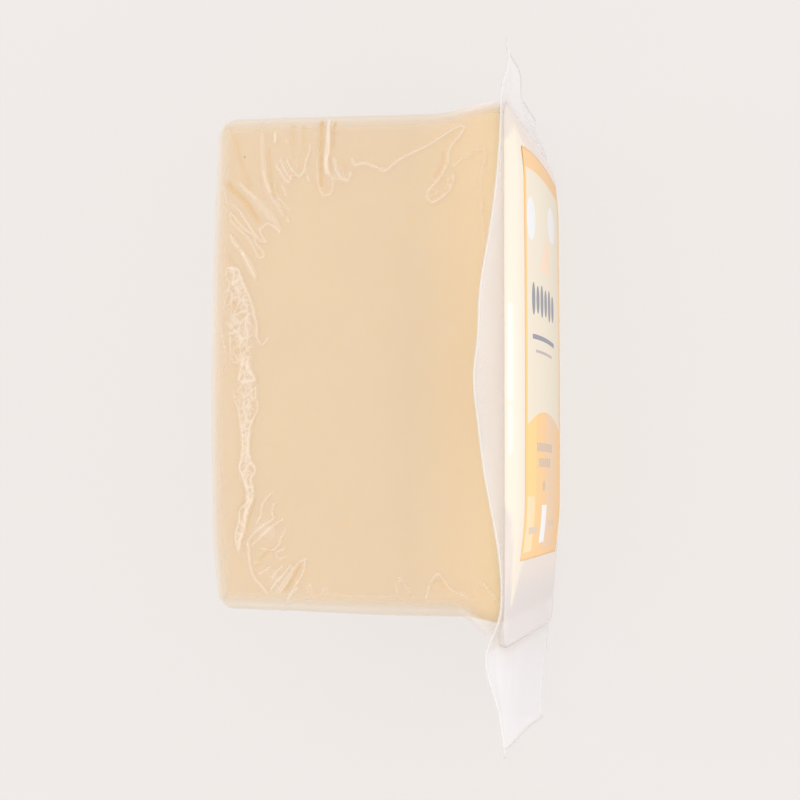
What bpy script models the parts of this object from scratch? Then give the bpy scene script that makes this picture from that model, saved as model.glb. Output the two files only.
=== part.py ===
"""Block of white cheddar in a clear vacuum pack, lying on one long side with the other long side up.

+X points out of the label side, +Y points to the pack's top flap and +Z is up. The origin is on the
surface that the pack lies on, under the middle of the cheese. All sizes are in metres.
"""
import math

import bmesh
import bpy
import numpy as np

# Block of cheese, with the film shrunk on to it
BLOCK_DEPTH = 0.0628
BLOCK_LENGTH = 0.102
BLOCK_WIDTH = 0.070
BACK_EDGE_RADIUS = 0.0034
FRONT_EDGE_RADIUS = 0.0046
FRONT_CROWN = 0.0007
BACK_CROWN = 0.0015
GRID_STEP = 0.0011
BLOCK_TRIANGLES = 8200

# Ends of the block: the top one slopes down to the front, the lower one down to the front too
TOP_RISE = 0.0003
TOP_SLOPE = 0.0010
BOTTOM_SLOPE = 0.0008
BOTTOM_SLOPE_END = 0.008

# Lift of the film off the cheese towards the flange: its height and the depth that it starts over
TOP_FLARE = 0.0020
TOP_FLARE_REACH = 0.015
TOP_FLARE_FLAT = 0.002
BOTTOM_FLARE = 0.0062
BOTTOM_FLARE_REACH = 0.0095
SIDE_FLARE = 0.0006

# Rounding of the ends seen on the long side: how far the back and the front draw in, and where that starts
BACK_LOW_TAPER = 0.0006
BACK_LOW_START = 0.034
FRONT_LOW_TAPER = 0.0018
FRONT_LOW_START = 0.028
FRONT_HIGH_TAPER = 0.0009
FRONT_HIGH_START = 0.038

# Welded flange of the two films, just behind the front face
FLANGE_SETBACK = 0.0024
FLANGE_THICKNESS = 0.0003
FLANGE_MARGIN = 0.009
CORNER_CUT = 0.0006
CORNER_FADE = 1.5
TOP_FLAP_END_UP = 0.0615
TOP_FLAP_END_DOWN = 0.0640
TAIL_END_UP = -0.0763
TAIL_END_DOWN = -0.0798
FOLD_RADIUS = 0.0016
DOWN_SETBACK = 0.0010

# Bends of the flange, as distances along X from its root: the upper margin leans back in its middle
MARGIN_FORWARD = 0.0011
MARGIN_LEAN = -0.0052
MARGIN_LEAN_CENTRE = -0.006
MARGIN_LEAN_REACH_TOP = 0.058
MARGIN_LEAN_REACH_BOTTOM = 0.040
FLAP_LEAN_UP = 0.0008
FLAP_LEAN_DOWN = -0.0028
FLAP_TURN_START = 0.30
FLAP_TURN_LENGTH = 0.50
FLAP_WAVE = 0.0012
FLAP_WAVE_PLACE = 0.0567
FLAP_WAVE_REACH = 0.0038
TAIL_LEAN_UP = 0.0006
TAIL_LEAN_DOWN = -0.0015
TAIL_WAVE = -0.0034
TAIL_WAVE_PLACE = -0.058
TAIL_WAVE_REACH_TOP = 0.0060
TAIL_WAVE_REACH_BOTTOM = 0.0085

# Hollow that the folded flange presses into the underside
RECESS_DEPTH = 0.00065
RECESS_EDGE = 0.0135
RECESS_RAMP = 0.0030

# Printed label on the front film
LABEL_LENGTH = 0.0846
LABEL_WIDTH = 0.0520
LABEL_CENTRE_Y = 0.0021
LABEL_CENTRE_Z = 0.0345
LABEL_THICKNESS = 0.0003
LABEL_STEP = 0.0042
LABEL_BOW = 0.0024
LABEL_BOW_Z = 0.028
LABEL_BOW_REACH = 0.0325

GAP = 0.0003
HOLE_SLACK = 0.0001
REST_SNAP = 0.00005
ON_FACE = 1e-9

HALF_DEPTH = BLOCK_DEPTH / 2
HALF_LENGTH = BLOCK_LENGTH / 2
HALF_WIDTH = BLOCK_WIDTH / 2
FLANGE_X = HALF_DEPTH - FLANGE_SETBACK

# Folds of the film that stand on the block: height, half width and route. The route is laid out
# flat from the upper long side: past its edges it goes on down the back and the two ends.
FOLDS = (
    (0.0009, 0.0012, ((-0.0074, 0.066), (-0.0074, 0.0389), (-0.0091, 0.0361), (-0.0073, 0.0340),
                      (-0.0059, 0.0360))),
    (0.0007, 0.0013, ((-0.0214, 0.055), (-0.0211, 0.0387), (-0.0174, 0.0313))),
    (0.0007, 0.0013, ((-0.0300, 0.0480), (-0.0268, 0.0438), (-0.0212, 0.0284))),
    (0.0006, 0.0012, ((-0.0290, 0.0360), (-0.0249, 0.0275), (-0.0220, 0.0216))),
    (0.0006, 0.0015, ((-0.0259, 0.0223), (-0.0222, 0.0170))),
    (0.0008, 0.0013, ((-0.0116, -0.0397), (-0.0143, -0.0471), (-0.0150, -0.056))),
    (0.0006, 0.0012, ((-0.0105, -0.0462), (-0.0104, -0.0560))),
    (0.0005, 0.0011, ((-0.0074, -0.0464), (0.0000, -0.0474), (0.0071, -0.0471))),
    (0.0006, 0.0012, ((0.0075, -0.0430), (0.0108, -0.0471), (0.0112, -0.056))),
    (0.0006, 0.0012, ((0.0162, -0.0422), (0.0200, -0.0465), (0.0220, -0.0520))),
    (0.0006, 0.0011, ((-0.0019, 0.0405), (0.0040, 0.0390), (0.0110, 0.0421), (0.0209, 0.0465),
                      (0.0180, 0.0420), (0.0154, 0.0351), (0.0147, 0.0316), (0.0186, 0.0359))),
    (0.0006, 0.0012, ((0.0188, 0.0385), (0.0257, 0.0412), (0.0243, 0.0326), (0.0249, 0.0216))),
)

# Fans of short folds at the back corners: count, first start, last start, first end and last end
FANS = (
    (7, (-0.0190, 0.0520), (-0.0030, 0.0520), (-0.0180, 0.0400), (-0.0045, 0.0440)),
    (6, (-0.0280, -0.0300), (-0.0190, -0.0500), (-0.0190, -0.0320), (-0.0120, -0.0480)),
    (5, (-0.0480, 0.0350), (-0.0480, 0.0100), (-0.0300, 0.0380), (-0.0300, 0.0140)),
    (5, (-0.0480, -0.0140), (-0.0480, -0.0420), (-0.0300, -0.0120), (-0.0300, -0.0400)),
)
FAN_HEIGHT = 0.0006
FAN_HALF_WIDTH = 0.0011
FAN_SHORTENING = 0.3

# Crinkled band beside the back edge: folds that cross over each other in zigzags
BAND_CENTRE = -0.0255
BAND_TOP = 0.032
BAND_BOTTOM = -0.026
BAND_SWING = 0.0040
BAND_NARROWING = 0.6
BAND_PITCH = 0.0105
BAND_LINES = 3
BAND_HEIGHT = 0.0006
BAND_HALF_WIDTH = 0.0011

CHEESE_COLOUR = (0.86, 0.68, 0.45, 1.0)
FILM_COLOUR = (0.86, 0.87, 0.90, 1.0)
LABEL_COLOUR = (0.93, 0.80, 0.52, 1.0)
CHEESE_ROUGHNESS = 0.45
FILM_ROUGHNESS = 0.25
LABEL_ROUGHNESS = 0.4


def smooth(value):
    """Eases from 0 to 1 as the value goes from 0 to 1."""
    value = np.clip(value, 0.0, 1.0)
    return value * value * (3.0 - 2.0 * value)


def edge_radius(x):
    """Radius of the block's edges, which grows from the back to the front."""
    return BACK_EDGE_RADIUS + (FRONT_EDGE_RADIUS - BACK_EDGE_RADIUS) * smooth(x / BLOCK_DEPTH + 0.5)


def flare(x, reach, flat=0.0):
    """Share of the film's lift at the place x along the depth, whole over a flat stretch at the flange."""
    return smooth((x - FLANGE_X + reach) / (reach - flat)) * smooth((HALF_DEPTH + GAP - x) / FLANGE_SETBACK)


def top_shift(x):
    """How far the top end lies above its plane."""
    slope = TOP_SLOPE * smooth((x + HALF_DEPTH) / (HALF_DEPTH + FLANGE_X))
    return TOP_RISE - slope + TOP_FLARE * flare(x, TOP_FLARE_REACH, TOP_FLARE_FLAT)


def bottom_shift(x):
    """How far the bottom end lies below its plane."""
    slope = BOTTOM_SLOPE * smooth((BOTTOM_SLOPE_END - x) / (BOTTOM_SLOPE_END + HALF_DEPTH))
    return BOTTOM_FLARE * flare(x, BOTTOM_FLARE_REACH) - slope


def recess(x):
    """Height of the underside above the surface that the pack lies on."""
    return RECESS_DEPTH * smooth((x - RECESS_EDGE) / RECESS_RAMP)


def front_crown(y, z):
    """How far the front face swells at the height z above its middle."""
    return FRONT_CROWN * (1.0 - (y / HALF_LENGTH) ** 2) * (1.0 - (z / HALF_WIDTH) ** 2)


def front_taper(y):
    """How far the front face draws in towards its two ends."""
    low = FRONT_LOW_TAPER * smooth((-y - FRONT_LOW_START) / (HALF_LENGTH - FRONT_LOW_START))
    high = FRONT_HIGH_TAPER * smooth((y - FRONT_HIGH_START) / (HALF_LENGTH - FRONT_HIGH_START))
    return low + high


def route_distance(points, route):
    """Distance from each flat point to a route of straight stretches."""
    nearest = np.full(len(points), np.inf)
    for first, last in zip(route[:-1], route[1:]):
        start = np.array(first)
        span = np.array(last) - start
        share = np.clip((points - start) @ span / (span @ span), 0.0, 1.0)
        foot = start + share[:, None] * span
        nearest = np.minimum(nearest, np.linalg.norm(points - foot, axis=1))
    return nearest


def fan_folds():
    """Short folds side by side, each second one shorter."""
    folds = []
    for count, start_a, start_b, end_a, end_b in FANS:
        for index in range(count):
            share = index / (count - 1)
            start = np.array(start_a) * (1 - share) + np.array(start_b) * share
            end = np.array(end_a) * (1 - share) + np.array(end_b) * share
            if index % 2:
                end = end + FAN_SHORTENING * (start - end)
            folds.append((FAN_HEIGHT, FAN_HALF_WIDTH, (tuple(start), tuple(end))))
    return folds


def band_folds():
    """Zigzag folds along the back edge, narrower towards the bottom end."""
    folds = []
    turns = int((BAND_TOP - BAND_BOTTOM) / (BAND_PITCH / 2))
    for line in range(BAND_LINES):
        route = []
        for turn in range(turns + 1):
            y = BAND_TOP - (turn + line / BAND_LINES) * BAND_PITCH / 2
            swing = BAND_SWING * (1.0 - BAND_NARROWING * turn / turns)
            side = 1 if (turn + line) % 2 else -1
            route.append((BAND_CENTRE + side * swing, y))
        folds.append((BAND_HEIGHT, BAND_HALF_WIDTH, tuple(route)))
    return folds


def relief(points):
    """Height of the film's folds at points of the block's flattened upper surface."""
    height = np.zeros(len(points))
    for peak, half_width, route in list(FOLDS) + fan_folds() + band_folds():
        distance = route_distance(points, route)
        crest = np.clip(1.0 - (distance / half_width) ** 2, 0.0, 1.0) ** 2
        height = np.maximum(height, peak * crest)
    return height


def box_lattice(counts):
    """Whole-number places on the surface of a box of cells, and its square faces turned outwards."""
    places = []
    index = {}
    faces = []

    def vertex(place):
        if place not in index:
            index[place] = len(places)
            places.append(place)
        return index[place]

    for axis in range(3):
        first, second = (axis + 1) % 3, (axis + 2) % 3
        for side in (0, counts[axis]):
            for i in range(counts[first]):
                for j in range(counts[second]):
                    corners = []
                    for step_i, step_j in ((0, 0), (1, 0), (1, 1), (0, 1)):
                        place = [0, 0, 0]
                        place[axis] = side
                        place[first] = i + step_i
                        place[second] = j + step_j
                        corners.append(vertex(tuple(place)))
                    faces.append(corners if side else corners[::-1])
    return np.array(places, dtype=float), faces


def block_surface(box):
    """Turns points on a plain box about the block's middle into points on the cheese."""
    half = np.array((HALF_DEPTH, HALF_LENGTH, HALF_WIDTH))
    radius = edge_radius(box[:, 0])[:, None]
    core = np.clip(box, radius - half, half - radius)
    away = box - core
    normal = away / np.linalg.norm(away, axis=1)[:, None]
    point = core + radius * normal
    x, y, z = point.T

    upper_end = smooth(y / HALF_LENGTH)
    lower_end = smooth(-y / HALF_LENGTH)
    upper_side = smooth(z / HALF_WIDTH)
    front = smooth(x / HALF_DEPTH)
    back = smooth(-x / HALF_DEPTH)
    proud = np.clip((x - FLANGE_X) / FLANGE_SETBACK, 0.0, 1.0)
    drawn_in = BACK_LOW_TAPER * smooth((-y - BACK_LOW_START) / (HALF_LENGTH - BACK_LOW_START))

    moved = point.copy()
    moved[:, 1] += upper_end * top_shift(x) - lower_end * bottom_shift(x)
    moved[:, 2] += upper_side * SIDE_FLARE * flare(x, BOTTOM_FLARE_REACH)
    moved[:, 0] += front * front_crown(y, z) - proud * front_taper(y)
    moved[:, 0] += back * (drawn_in - BACK_CROWN * (1.0 - (y / HALF_LENGTH) ** 2))

    below = HALF_WIDTH - box[:, 2]
    flat = np.column_stack((box[:, 0] - below * (box[:, 0] <= -HALF_DEPTH + ON_FACE), box[:, 1]))
    at_end = np.abs(box[:, 1]) >= HALF_LENGTH - 1e-9
    flat[:, 1] += np.sign(box[:, 1]) * below * at_end
    held = (box[:, 2] > -HALF_WIDTH + ON_FACE) & (box[:, 0] < HALF_DEPTH - ON_FACE)
    moved += normal * (relief(flat) * held * smooth((z + HALF_WIDTH) / HALF_WIDTH))[:, None]

    moved[:, 2] += HALF_WIDTH
    underside = smooth(1.0 - moved[:, 2] / HALF_WIDTH)
    moved[:, 2] += recess(x) * underside
    return moved


def add_object(name, vertices, faces, colour, roughness):
    """Makes an object with smooth shading and a material of its own."""
    mesh = bpy.data.meshes.new(name)
    mesh.from_pydata([tuple(float(c) for c in vertex) for vertex in vertices], [], faces)
    mesh.update()
    mesh.shade_smooth()
    thing = bpy.data.objects.new(name, mesh)
    bpy.context.scene.collection.objects.link(thing)
    material = bpy.data.materials.new(name)
    material.use_nodes = True
    surface = material.node_tree.nodes["Principled BSDF"]
    surface.inputs["Base Color"].default_value = colour
    surface.inputs["Roughness"].default_value = roughness
    surface.inputs["Metallic"].default_value = 0.0
    mesh.materials.append(material)
    return thing


def make_cheese_block():
    """The rounded block with the clinging film's folds, thinned where it is plain."""
    sizes = (BLOCK_DEPTH, BLOCK_LENGTH, BLOCK_WIDTH)
    counts = [round(size / GRID_STEP) for size in sizes]
    places, faces = box_lattice(counts)
    box = (places / np.array(counts) - 0.5) * np.array(sizes)
    block = add_object("cheese_block", block_surface(box), faces, CHEESE_COLOUR, CHEESE_ROUGHNESS)

    thin = block.modifiers.new("thin", "DECIMATE")
    thin.decimate_type = "COLLAPSE"
    thin.ratio = BLOCK_TRIANGLES / (2 * len(faces))
    thin.use_collapse_triangulate = True
    settle_underside(block)
    return block


def settle_underside(block):
    """Applies the thinning and lays the flat part of the underside exactly on the surface."""
    evaluated = block.evaluated_get(bpy.context.evaluated_depsgraph_get())
    thinned = bpy.data.meshes.new_from_object(evaluated)
    block.modifiers.clear()
    block.data = thinned
    for vertex in thinned.vertices:
        if vertex.co.z < REST_SNAP:
            vertex.co.z = 0.0


def lines(*stretches):
    """Places of a sheet's grid lines: each stretch is its start, its end and its number of cells."""
    places = []
    for start, end, cells in stretches:
        places += [start + (end - start) * i / cells for i in range(cells)]
    places.append(stretches[-1][1])
    return places


def round_hole_corner(y, s, corner_y, corner_s, radius):
    """Rounds one corner of the square hole, by turning its square rings into round ones."""
    side_y = 1.0 if corner_y > 0 else -1.0
    side_s = 1.0 if corner_s > HALF_WIDTH else -1.0
    along = (y - corner_y) * side_y + radius
    across = (s - corner_s) * side_s + radius
    ring = max(along, across)
    if min(along, across) <= 0.0:
        return y, s
    rounding = ring / math.hypot(along, across)
    fade = min(1.0, max(0.0, (ring - radius) / (CORNER_FADE * radius)))
    factor = rounding + (1.0 - rounding) * fade
    along *= factor
    across *= factor
    return corner_y + (along - radius) * side_y, corner_s + (across - radius) * side_s


def ease(value):
    """The same easing as smooth, for one number."""
    return float(smooth(value))


def flange_depth(y, s, hole_low, hole_high):
    """Place along X of the flange's middle surface, for the flat-sheet coordinates y and s."""
    x = FLANGE_X - DOWN_SETBACK * ease(1.0 - s / BLOCK_WIDTH)
    across = min(1.0, max(0.0, s / BLOCK_WIDTH))

    offset = y - MARGIN_LEAN_CENTRE
    offset /= MARGIN_LEAN_REACH_TOP if offset > 0 else MARGIN_LEAN_REACH_BOTTOM
    lean = MARGIN_LEAN * math.cos(min(1.0, abs(offset)) * math.pi / 2) ** 2
    x += ease((s - BLOCK_WIDTH) / FLANGE_MARGIN) * (MARGIN_FORWARD + lean)

    beyond_top = ease((y - hole_high) / (TOP_FLAP_END_UP - hole_high))
    turn = ease((across - FLAP_TURN_START) / FLAP_TURN_LENGTH)
    x += beyond_top * (FLAP_LEAN_UP * turn + FLAP_LEAN_DOWN * beyond_top * (1.0 - turn))

    beyond_bottom = ease((hole_low - y) / (hole_low - TAIL_END_UP))
    share = max(0.0, s / (BLOCK_WIDTH + FLANGE_MARGIN)) ** 2
    x += beyond_bottom * (TAIL_LEAN_DOWN + (TAIL_LEAN_UP - TAIL_LEAN_DOWN) * share)
    upper_side = ease((s - BLOCK_WIDTH + FLANGE_MARGIN) / (2 * FLANGE_MARGIN))
    x += FLAP_WAVE * upper_side * math.exp(-((y - FLAP_WAVE_PLACE) / FLAP_WAVE_REACH) ** 2)
    from_wave = y - TAIL_WAVE_PLACE
    from_wave /= TAIL_WAVE_REACH_TOP if from_wave > 0 else TAIL_WAVE_REACH_BOTTOM
    return x + TAIL_WAVE * upper_side * math.exp(-from_wave ** 2)


def fold_under(x, y, s):
    """Bends the sheet back along the surface that the pack lies on."""
    level = FLANGE_THICKNESS / 2
    s -= level
    flat_start = FOLD_RADIUS * (1.0 - math.pi / 2)
    if s >= FOLD_RADIUS:
        return x, y, s + level
    if s >= flat_start:
        angle = (FOLD_RADIUS - s) / FOLD_RADIUS
        return x - FOLD_RADIUS * (1.0 - math.cos(angle)), y, FOLD_RADIUS * (1.0 - math.sin(angle)) + level
    return x - FOLD_RADIUS - (flat_start - s), y, level


def edge_inset(x):
    """How far the front edge's arc lies inside the plain faces at the place x."""
    along = x - (HALF_DEPTH - FRONT_EDGE_RADIUS)
    return FRONT_EDGE_RADIUS - math.sqrt(FRONT_EDGE_RADIUS ** 2 - along ** 2)


def make_film_flange():
    """The welded margin of the two films round the block, with the top flap and the long tail."""
    inset = edge_inset(FLANGE_X)
    end_inset = edge_inset(FLANGE_X - DOWN_SETBACK / 2)
    hole_high = HALF_LENGTH + float(top_shift(FLANGE_X)) - end_inset + GAP + HOLE_SLACK
    hole_low = -(HALF_LENGTH + float(bottom_shift(FLANGE_X)) - end_inset + GAP + HOLE_SLACK)
    hole_top = BLOCK_WIDTH + SIDE_FLARE - inset + GAP + HOLE_SLACK
    hole_bottom = FLANGE_THICKNESS / 2
    corner = FRONT_EDGE_RADIUS - inset

    arc_end = FOLD_RADIUS * (1.0 - math.pi / 2) + FLANGE_THICKNESS / 2
    y_lines = lines((TAIL_END_UP, hole_low, 8), (hole_low, hole_low + corner, 3),
                    (hole_low + corner, hole_high - corner, 30), (hole_high - corner, hole_high, 3),
                    (hole_high, TOP_FLAP_END_UP, 5))
    s_lines = lines((-FLANGE_MARGIN, arc_end, 3), (arc_end, hole_bottom, 2), (hole_bottom, FOLD_RADIUS, 2),
                    (FOLD_RADIUS, hole_bottom + corner, 2), (hole_bottom + corner, hole_top - corner, 16),
                    (hole_top - corner, hole_top, 3), (hole_top, BLOCK_WIDTH + FLANGE_MARGIN, 4))

    vertices = []
    index = {}
    for i, y in enumerate(y_lines):
        for j, s in enumerate(s_lines):
            if hole_low < y < hole_high and hole_bottom < s < hole_top:
                continue
            flat_y, flat_s = y, s
            for corner_y in (hole_low, hole_high):
                for corner_s in (hole_bottom, hole_top):
                    flat_y, flat_s = round_hole_corner(flat_y, flat_s, corner_y, corner_s, corner)
            down = min(1.0, max(0.0, 1.0 - s / BLOCK_WIDTH))
            in_tail = max(0.0, (hole_low - y) / (hole_low - TAIL_END_UP))
            in_flap = max(0.0, (y - hole_high) / (TOP_FLAP_END_UP - hole_high))
            flat_y += down * (TAIL_END_DOWN - TAIL_END_UP) * in_tail
            flat_y += down * (TOP_FLAP_END_DOWN - TOP_FLAP_END_UP) * in_flap
            at_corner = (i in (0, len(y_lines) - 1)) and (j in (0, len(s_lines) - 1))
            if at_corner:
                flat_y -= math.copysign(CORNER_CUT, flat_y)
                flat_s -= math.copysign(CORNER_CUT, flat_s - HALF_WIDTH)
            x = flange_depth(flat_y, flat_s, hole_low, hole_high)
            index[i, j] = len(vertices)
            vertices.append(fold_under(x, flat_y, flat_s))

    faces = []
    for i in range(len(y_lines) - 1):
        for j in range(len(s_lines) - 1):
            middle_y = (y_lines[i] + y_lines[i + 1]) / 2
            middle_s = (s_lines[j] + s_lines[j + 1]) / 2
            if hole_low < middle_y < hole_high and hole_bottom < middle_s < hole_top:
                continue
            a, b, c, d = index[i, j], index[i + 1, j], index[i + 1, j + 1], index[i, j + 1]
            faces += [(a, b, c), (a, c, d)]
    flange = add_object("film_flange", vertices, faces, FILM_COLOUR, FILM_ROUGHNESS)
    thicken(flange, FLANGE_THICKNESS)
    return flange


def thicken(sheet, thickness):
    """Gives a sheet its thickness, half to each side."""
    solid = sheet.modifiers.new("thickness", "SOLIDIFY")
    solid.thickness = thickness
    solid.offset = 0.0
    solid.use_even_offset = True
    solid.use_rim = True


def make_label_panel():
    """The printed label, a thin panel with a bowed top edge that follows the swell of the front face."""
    columns = round(LABEL_WIDTH / LABEL_STEP)
    rows = round(LABEL_LENGTH / LABEL_STEP)
    vertices = []
    for i in range(rows + 1):
        for j in range(columns + 1):
            z = LABEL_CENTRE_Z + (j / columns - 0.5) * LABEL_WIDTH
            bow = LABEL_BOW * (1.0 - ((z - LABEL_BOW_Z) / LABEL_BOW_REACH) ** 2)
            y = LABEL_CENTRE_Y + (i / rows - 0.5) * LABEL_LENGTH + bow * float(smooth(i / rows))
            swell = float(front_crown(y, z - HALF_WIDTH) - front_taper(y))
            vertices.append((HALF_DEPTH + swell + GAP + LABEL_THICKNESS, y, z))
    faces = []
    for i in range(rows):
        for j in range(columns):
            a = i * (columns + 1) + j
            b = a + columns + 1
            faces += [(a, b, b + 1), (a, b + 1, a + 1)]
    label = add_object("label_panel", vertices, faces, LABEL_COLOUR, LABEL_ROUGHNESS)
    thicken(label, LABEL_THICKNESS)
    return label


for old in list(bpy.data.objects):
    bpy.data.objects.remove(old)
make_cheese_block()
make_film_flange()
make_label_panel()
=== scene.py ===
"""Looks of a vacuum-packed block of white cheddar that lies on one long side, seen from above.

+X points out of the label side, +Y to the pack's top flap and +Z up. Lengths are in metres.
"""
import itertools
import math

import bmesh
import bpy
import numpy as np
from mathutils import Matrix, Vector


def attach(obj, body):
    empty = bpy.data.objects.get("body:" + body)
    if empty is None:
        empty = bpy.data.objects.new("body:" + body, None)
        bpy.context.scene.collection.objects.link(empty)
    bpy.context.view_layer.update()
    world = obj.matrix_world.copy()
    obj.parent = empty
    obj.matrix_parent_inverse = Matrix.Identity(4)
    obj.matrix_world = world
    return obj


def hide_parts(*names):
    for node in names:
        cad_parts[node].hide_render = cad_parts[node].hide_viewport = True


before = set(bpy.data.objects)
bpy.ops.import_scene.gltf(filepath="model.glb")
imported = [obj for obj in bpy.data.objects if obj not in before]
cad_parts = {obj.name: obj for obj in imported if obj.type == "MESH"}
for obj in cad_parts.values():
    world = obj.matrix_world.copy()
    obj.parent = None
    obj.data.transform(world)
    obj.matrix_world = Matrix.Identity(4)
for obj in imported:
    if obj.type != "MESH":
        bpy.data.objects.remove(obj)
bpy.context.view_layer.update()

# The block, as the CAD has it
BLOCK_DEPTH = 0.0628
BLOCK_LENGTH = 0.102
BLOCK_WIDTH = 0.070
BACK_EDGE_RADIUS = 0.0034
FRONT_EDGE_RADIUS = 0.0046
FRONT_CROWN = 0.0007
BACK_CROWN = 0.0015
TOP_RISE = 0.0003
TOP_SLOPE = 0.0010
BOTTOM_SLOPE = 0.0008
BOTTOM_SLOPE_END = 0.008
TOP_FLARE = 0.0020
TOP_FLARE_REACH = 0.015
TOP_FLARE_FLAT = 0.002
BOTTOM_FLARE = 0.0062
BOTTOM_FLARE_REACH = 0.0095
SIDE_FLARE = 0.0006
BACK_LOW_TAPER = 0.0006
BACK_LOW_START = 0.034
FRONT_LOW_TAPER = 0.0018
FRONT_LOW_START = 0.028
FRONT_HIGH_TAPER = 0.0009
FRONT_HIGH_START = 0.038
RECESS_DEPTH = 0.00065
RECESS_EDGE = 0.0135
RECESS_RAMP = 0.0030
HALF_DEPTH = BLOCK_DEPTH / 2
HALF_LENGTH = BLOCK_LENGTH / 2
HALF_WIDTH = BLOCK_WIDTH / 2

# The flange, as the CAD has it
FLANGE_SETBACK = 0.0024
FLANGE_THICKNESS = 0.0003
FLANGE_MARGIN = 0.009
TOP_FLAP_END_UP = 0.0615
TOP_FLAP_END_DOWN = 0.0640
TAIL_END_UP = -0.0763
TAIL_END_DOWN = -0.0798
FOLD_RADIUS = 0.0016
DOWN_SETBACK = 0.0010
CORNER_FADE = 1.5
MARGIN_FORWARD = 0.0011
MARGIN_LEAN = -0.0052
MARGIN_LEAN_CENTRE = -0.006
MARGIN_LEAN_REACH_TOP = 0.058
MARGIN_LEAN_REACH_BOTTOM = 0.040
FLAP_LEAN_UP = 0.0008
FLAP_LEAN_DOWN = -0.0028
FLAP_TURN_START = 0.30
FLAP_TURN_LENGTH = 0.50
FLAP_WAVE = 0.0012
FLAP_WAVE_PLACE = 0.0567
FLAP_WAVE_REACH = 0.0038
TAIL_LEAN_UP = 0.0006
TAIL_LEAN_DOWN = -0.0015
TAIL_WAVE = -0.0034
TAIL_WAVE_PLACE = -0.058
TAIL_WAVE_REACH_TOP = 0.0060
TAIL_WAVE_REACH_BOTTOM = 0.0085
FLANGE_X = HALF_DEPTH - FLANGE_SETBACK
GAP = 0.0003
HOLE_SLACK = 0.0001

# The label, as the CAD has it
LABEL_LENGTH = 0.0846
LABEL_WIDTH = 0.0520
LABEL_CENTRE_Y = 0.0021
LABEL_CENTRE_Z = 0.0345
LABEL_BOW = 0.0024
LABEL_BOW_Z = 0.028
LABEL_BOW_REACH = 0.0325

# The camera: the photograph looks along the pack's long side, turned a little towards the label
FRAME_PIXELS = 800
CAMERA_TURN = math.radians(13.53)
CAMERA_PITCH = math.radians(-3.24)
CAMERA_ROLL = math.radians(0.11)
CAMERA_DISTANCE = 0.3431
CAMERA_SIDE = -0.0004
CAMERA_RISE = -0.0059
CAMERA_PIXELS = 1536.0
CAMERA_CLIP = (0.01, 10.0)
SENSOR = 36.0

# Slack for places that lie on a face, and for the square of a length
HAIR = 1e-9
TINY = 1e-12

# Clearances between the pieces
LABEL_LIFT = 0.00011
PRINT_THICKNESS = 0.00008
FILM_CLEARANCE = 0.00006
CHEESE_INSET = 0.00006


def smooth(value):
    """Eases from 0 to 1 as the value goes from 0 to 1."""
    value = np.clip(value, 0.0, 1.0)
    return value * value * (3.0 - 2.0 * value)


def bell(distance, width):
    """A bell curve: 1 at no distance, fading over the width."""
    return np.exp(-(distance / width) ** 2)


def camera_axes():
    """Right, up and back of the camera as unit vectors."""
    sine, cosine = math.sin(CAMERA_TURN), math.cos(CAMERA_TURN)
    right = Vector((cosine, 0.0, -sine))
    level = Vector((sine, 0.0, cosine))
    upward = Vector((0.0, 1.0, 0.0))
    back = level * math.cos(CAMERA_PITCH) + upward * math.sin(CAMERA_PITCH)
    up = upward * math.cos(CAMERA_PITCH) - level * math.sin(CAMERA_PITCH)
    turned_right = right * math.cos(CAMERA_ROLL) + up * math.sin(CAMERA_ROLL)
    turned_up = up * math.cos(CAMERA_ROLL) - right * math.sin(CAMERA_ROLL)
    return turned_right, turned_up, back


def camera_place():
    """Where the camera is."""
    right, up, back = camera_axes()
    middle = Vector((0.0, 0.0, HALF_WIDTH))
    return middle + right * CAMERA_SIDE + up * CAMERA_RISE + back * CAMERA_DISTANCE


def side_point(pixel_x, pixel_y):
    """Where the line of sight of a pixel of the photograph meets the block's upper long side."""
    right, up, back = camera_axes()
    half = FRAME_PIXELS / 2
    sight = right * ((pixel_x - half) / CAMERA_PIXELS) + up * ((half - pixel_y) / CAMERA_PIXELS) - back
    place = camera_place()
    reach = (BLOCK_WIDTH - place.z) / sight.z
    hit = place + sight * reach
    return hit.x, hit.y


def make_camera():
    """The camera at the photograph's place."""
    right, up, back = camera_axes()
    data = bpy.data.cameras.new("camera")
    data.sensor_width = SENSOR
    data.lens = CAMERA_PIXELS / FRAME_PIXELS * SENSOR
    data.clip_start, data.clip_end = CAMERA_CLIP
    camera = add_object("camera", data)
    camera.matrix_world = Matrix.Translation(camera_place()) @ Matrix((right, up, back)).transposed().to_4x4()
    bpy.context.scene.camera = camera


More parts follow.
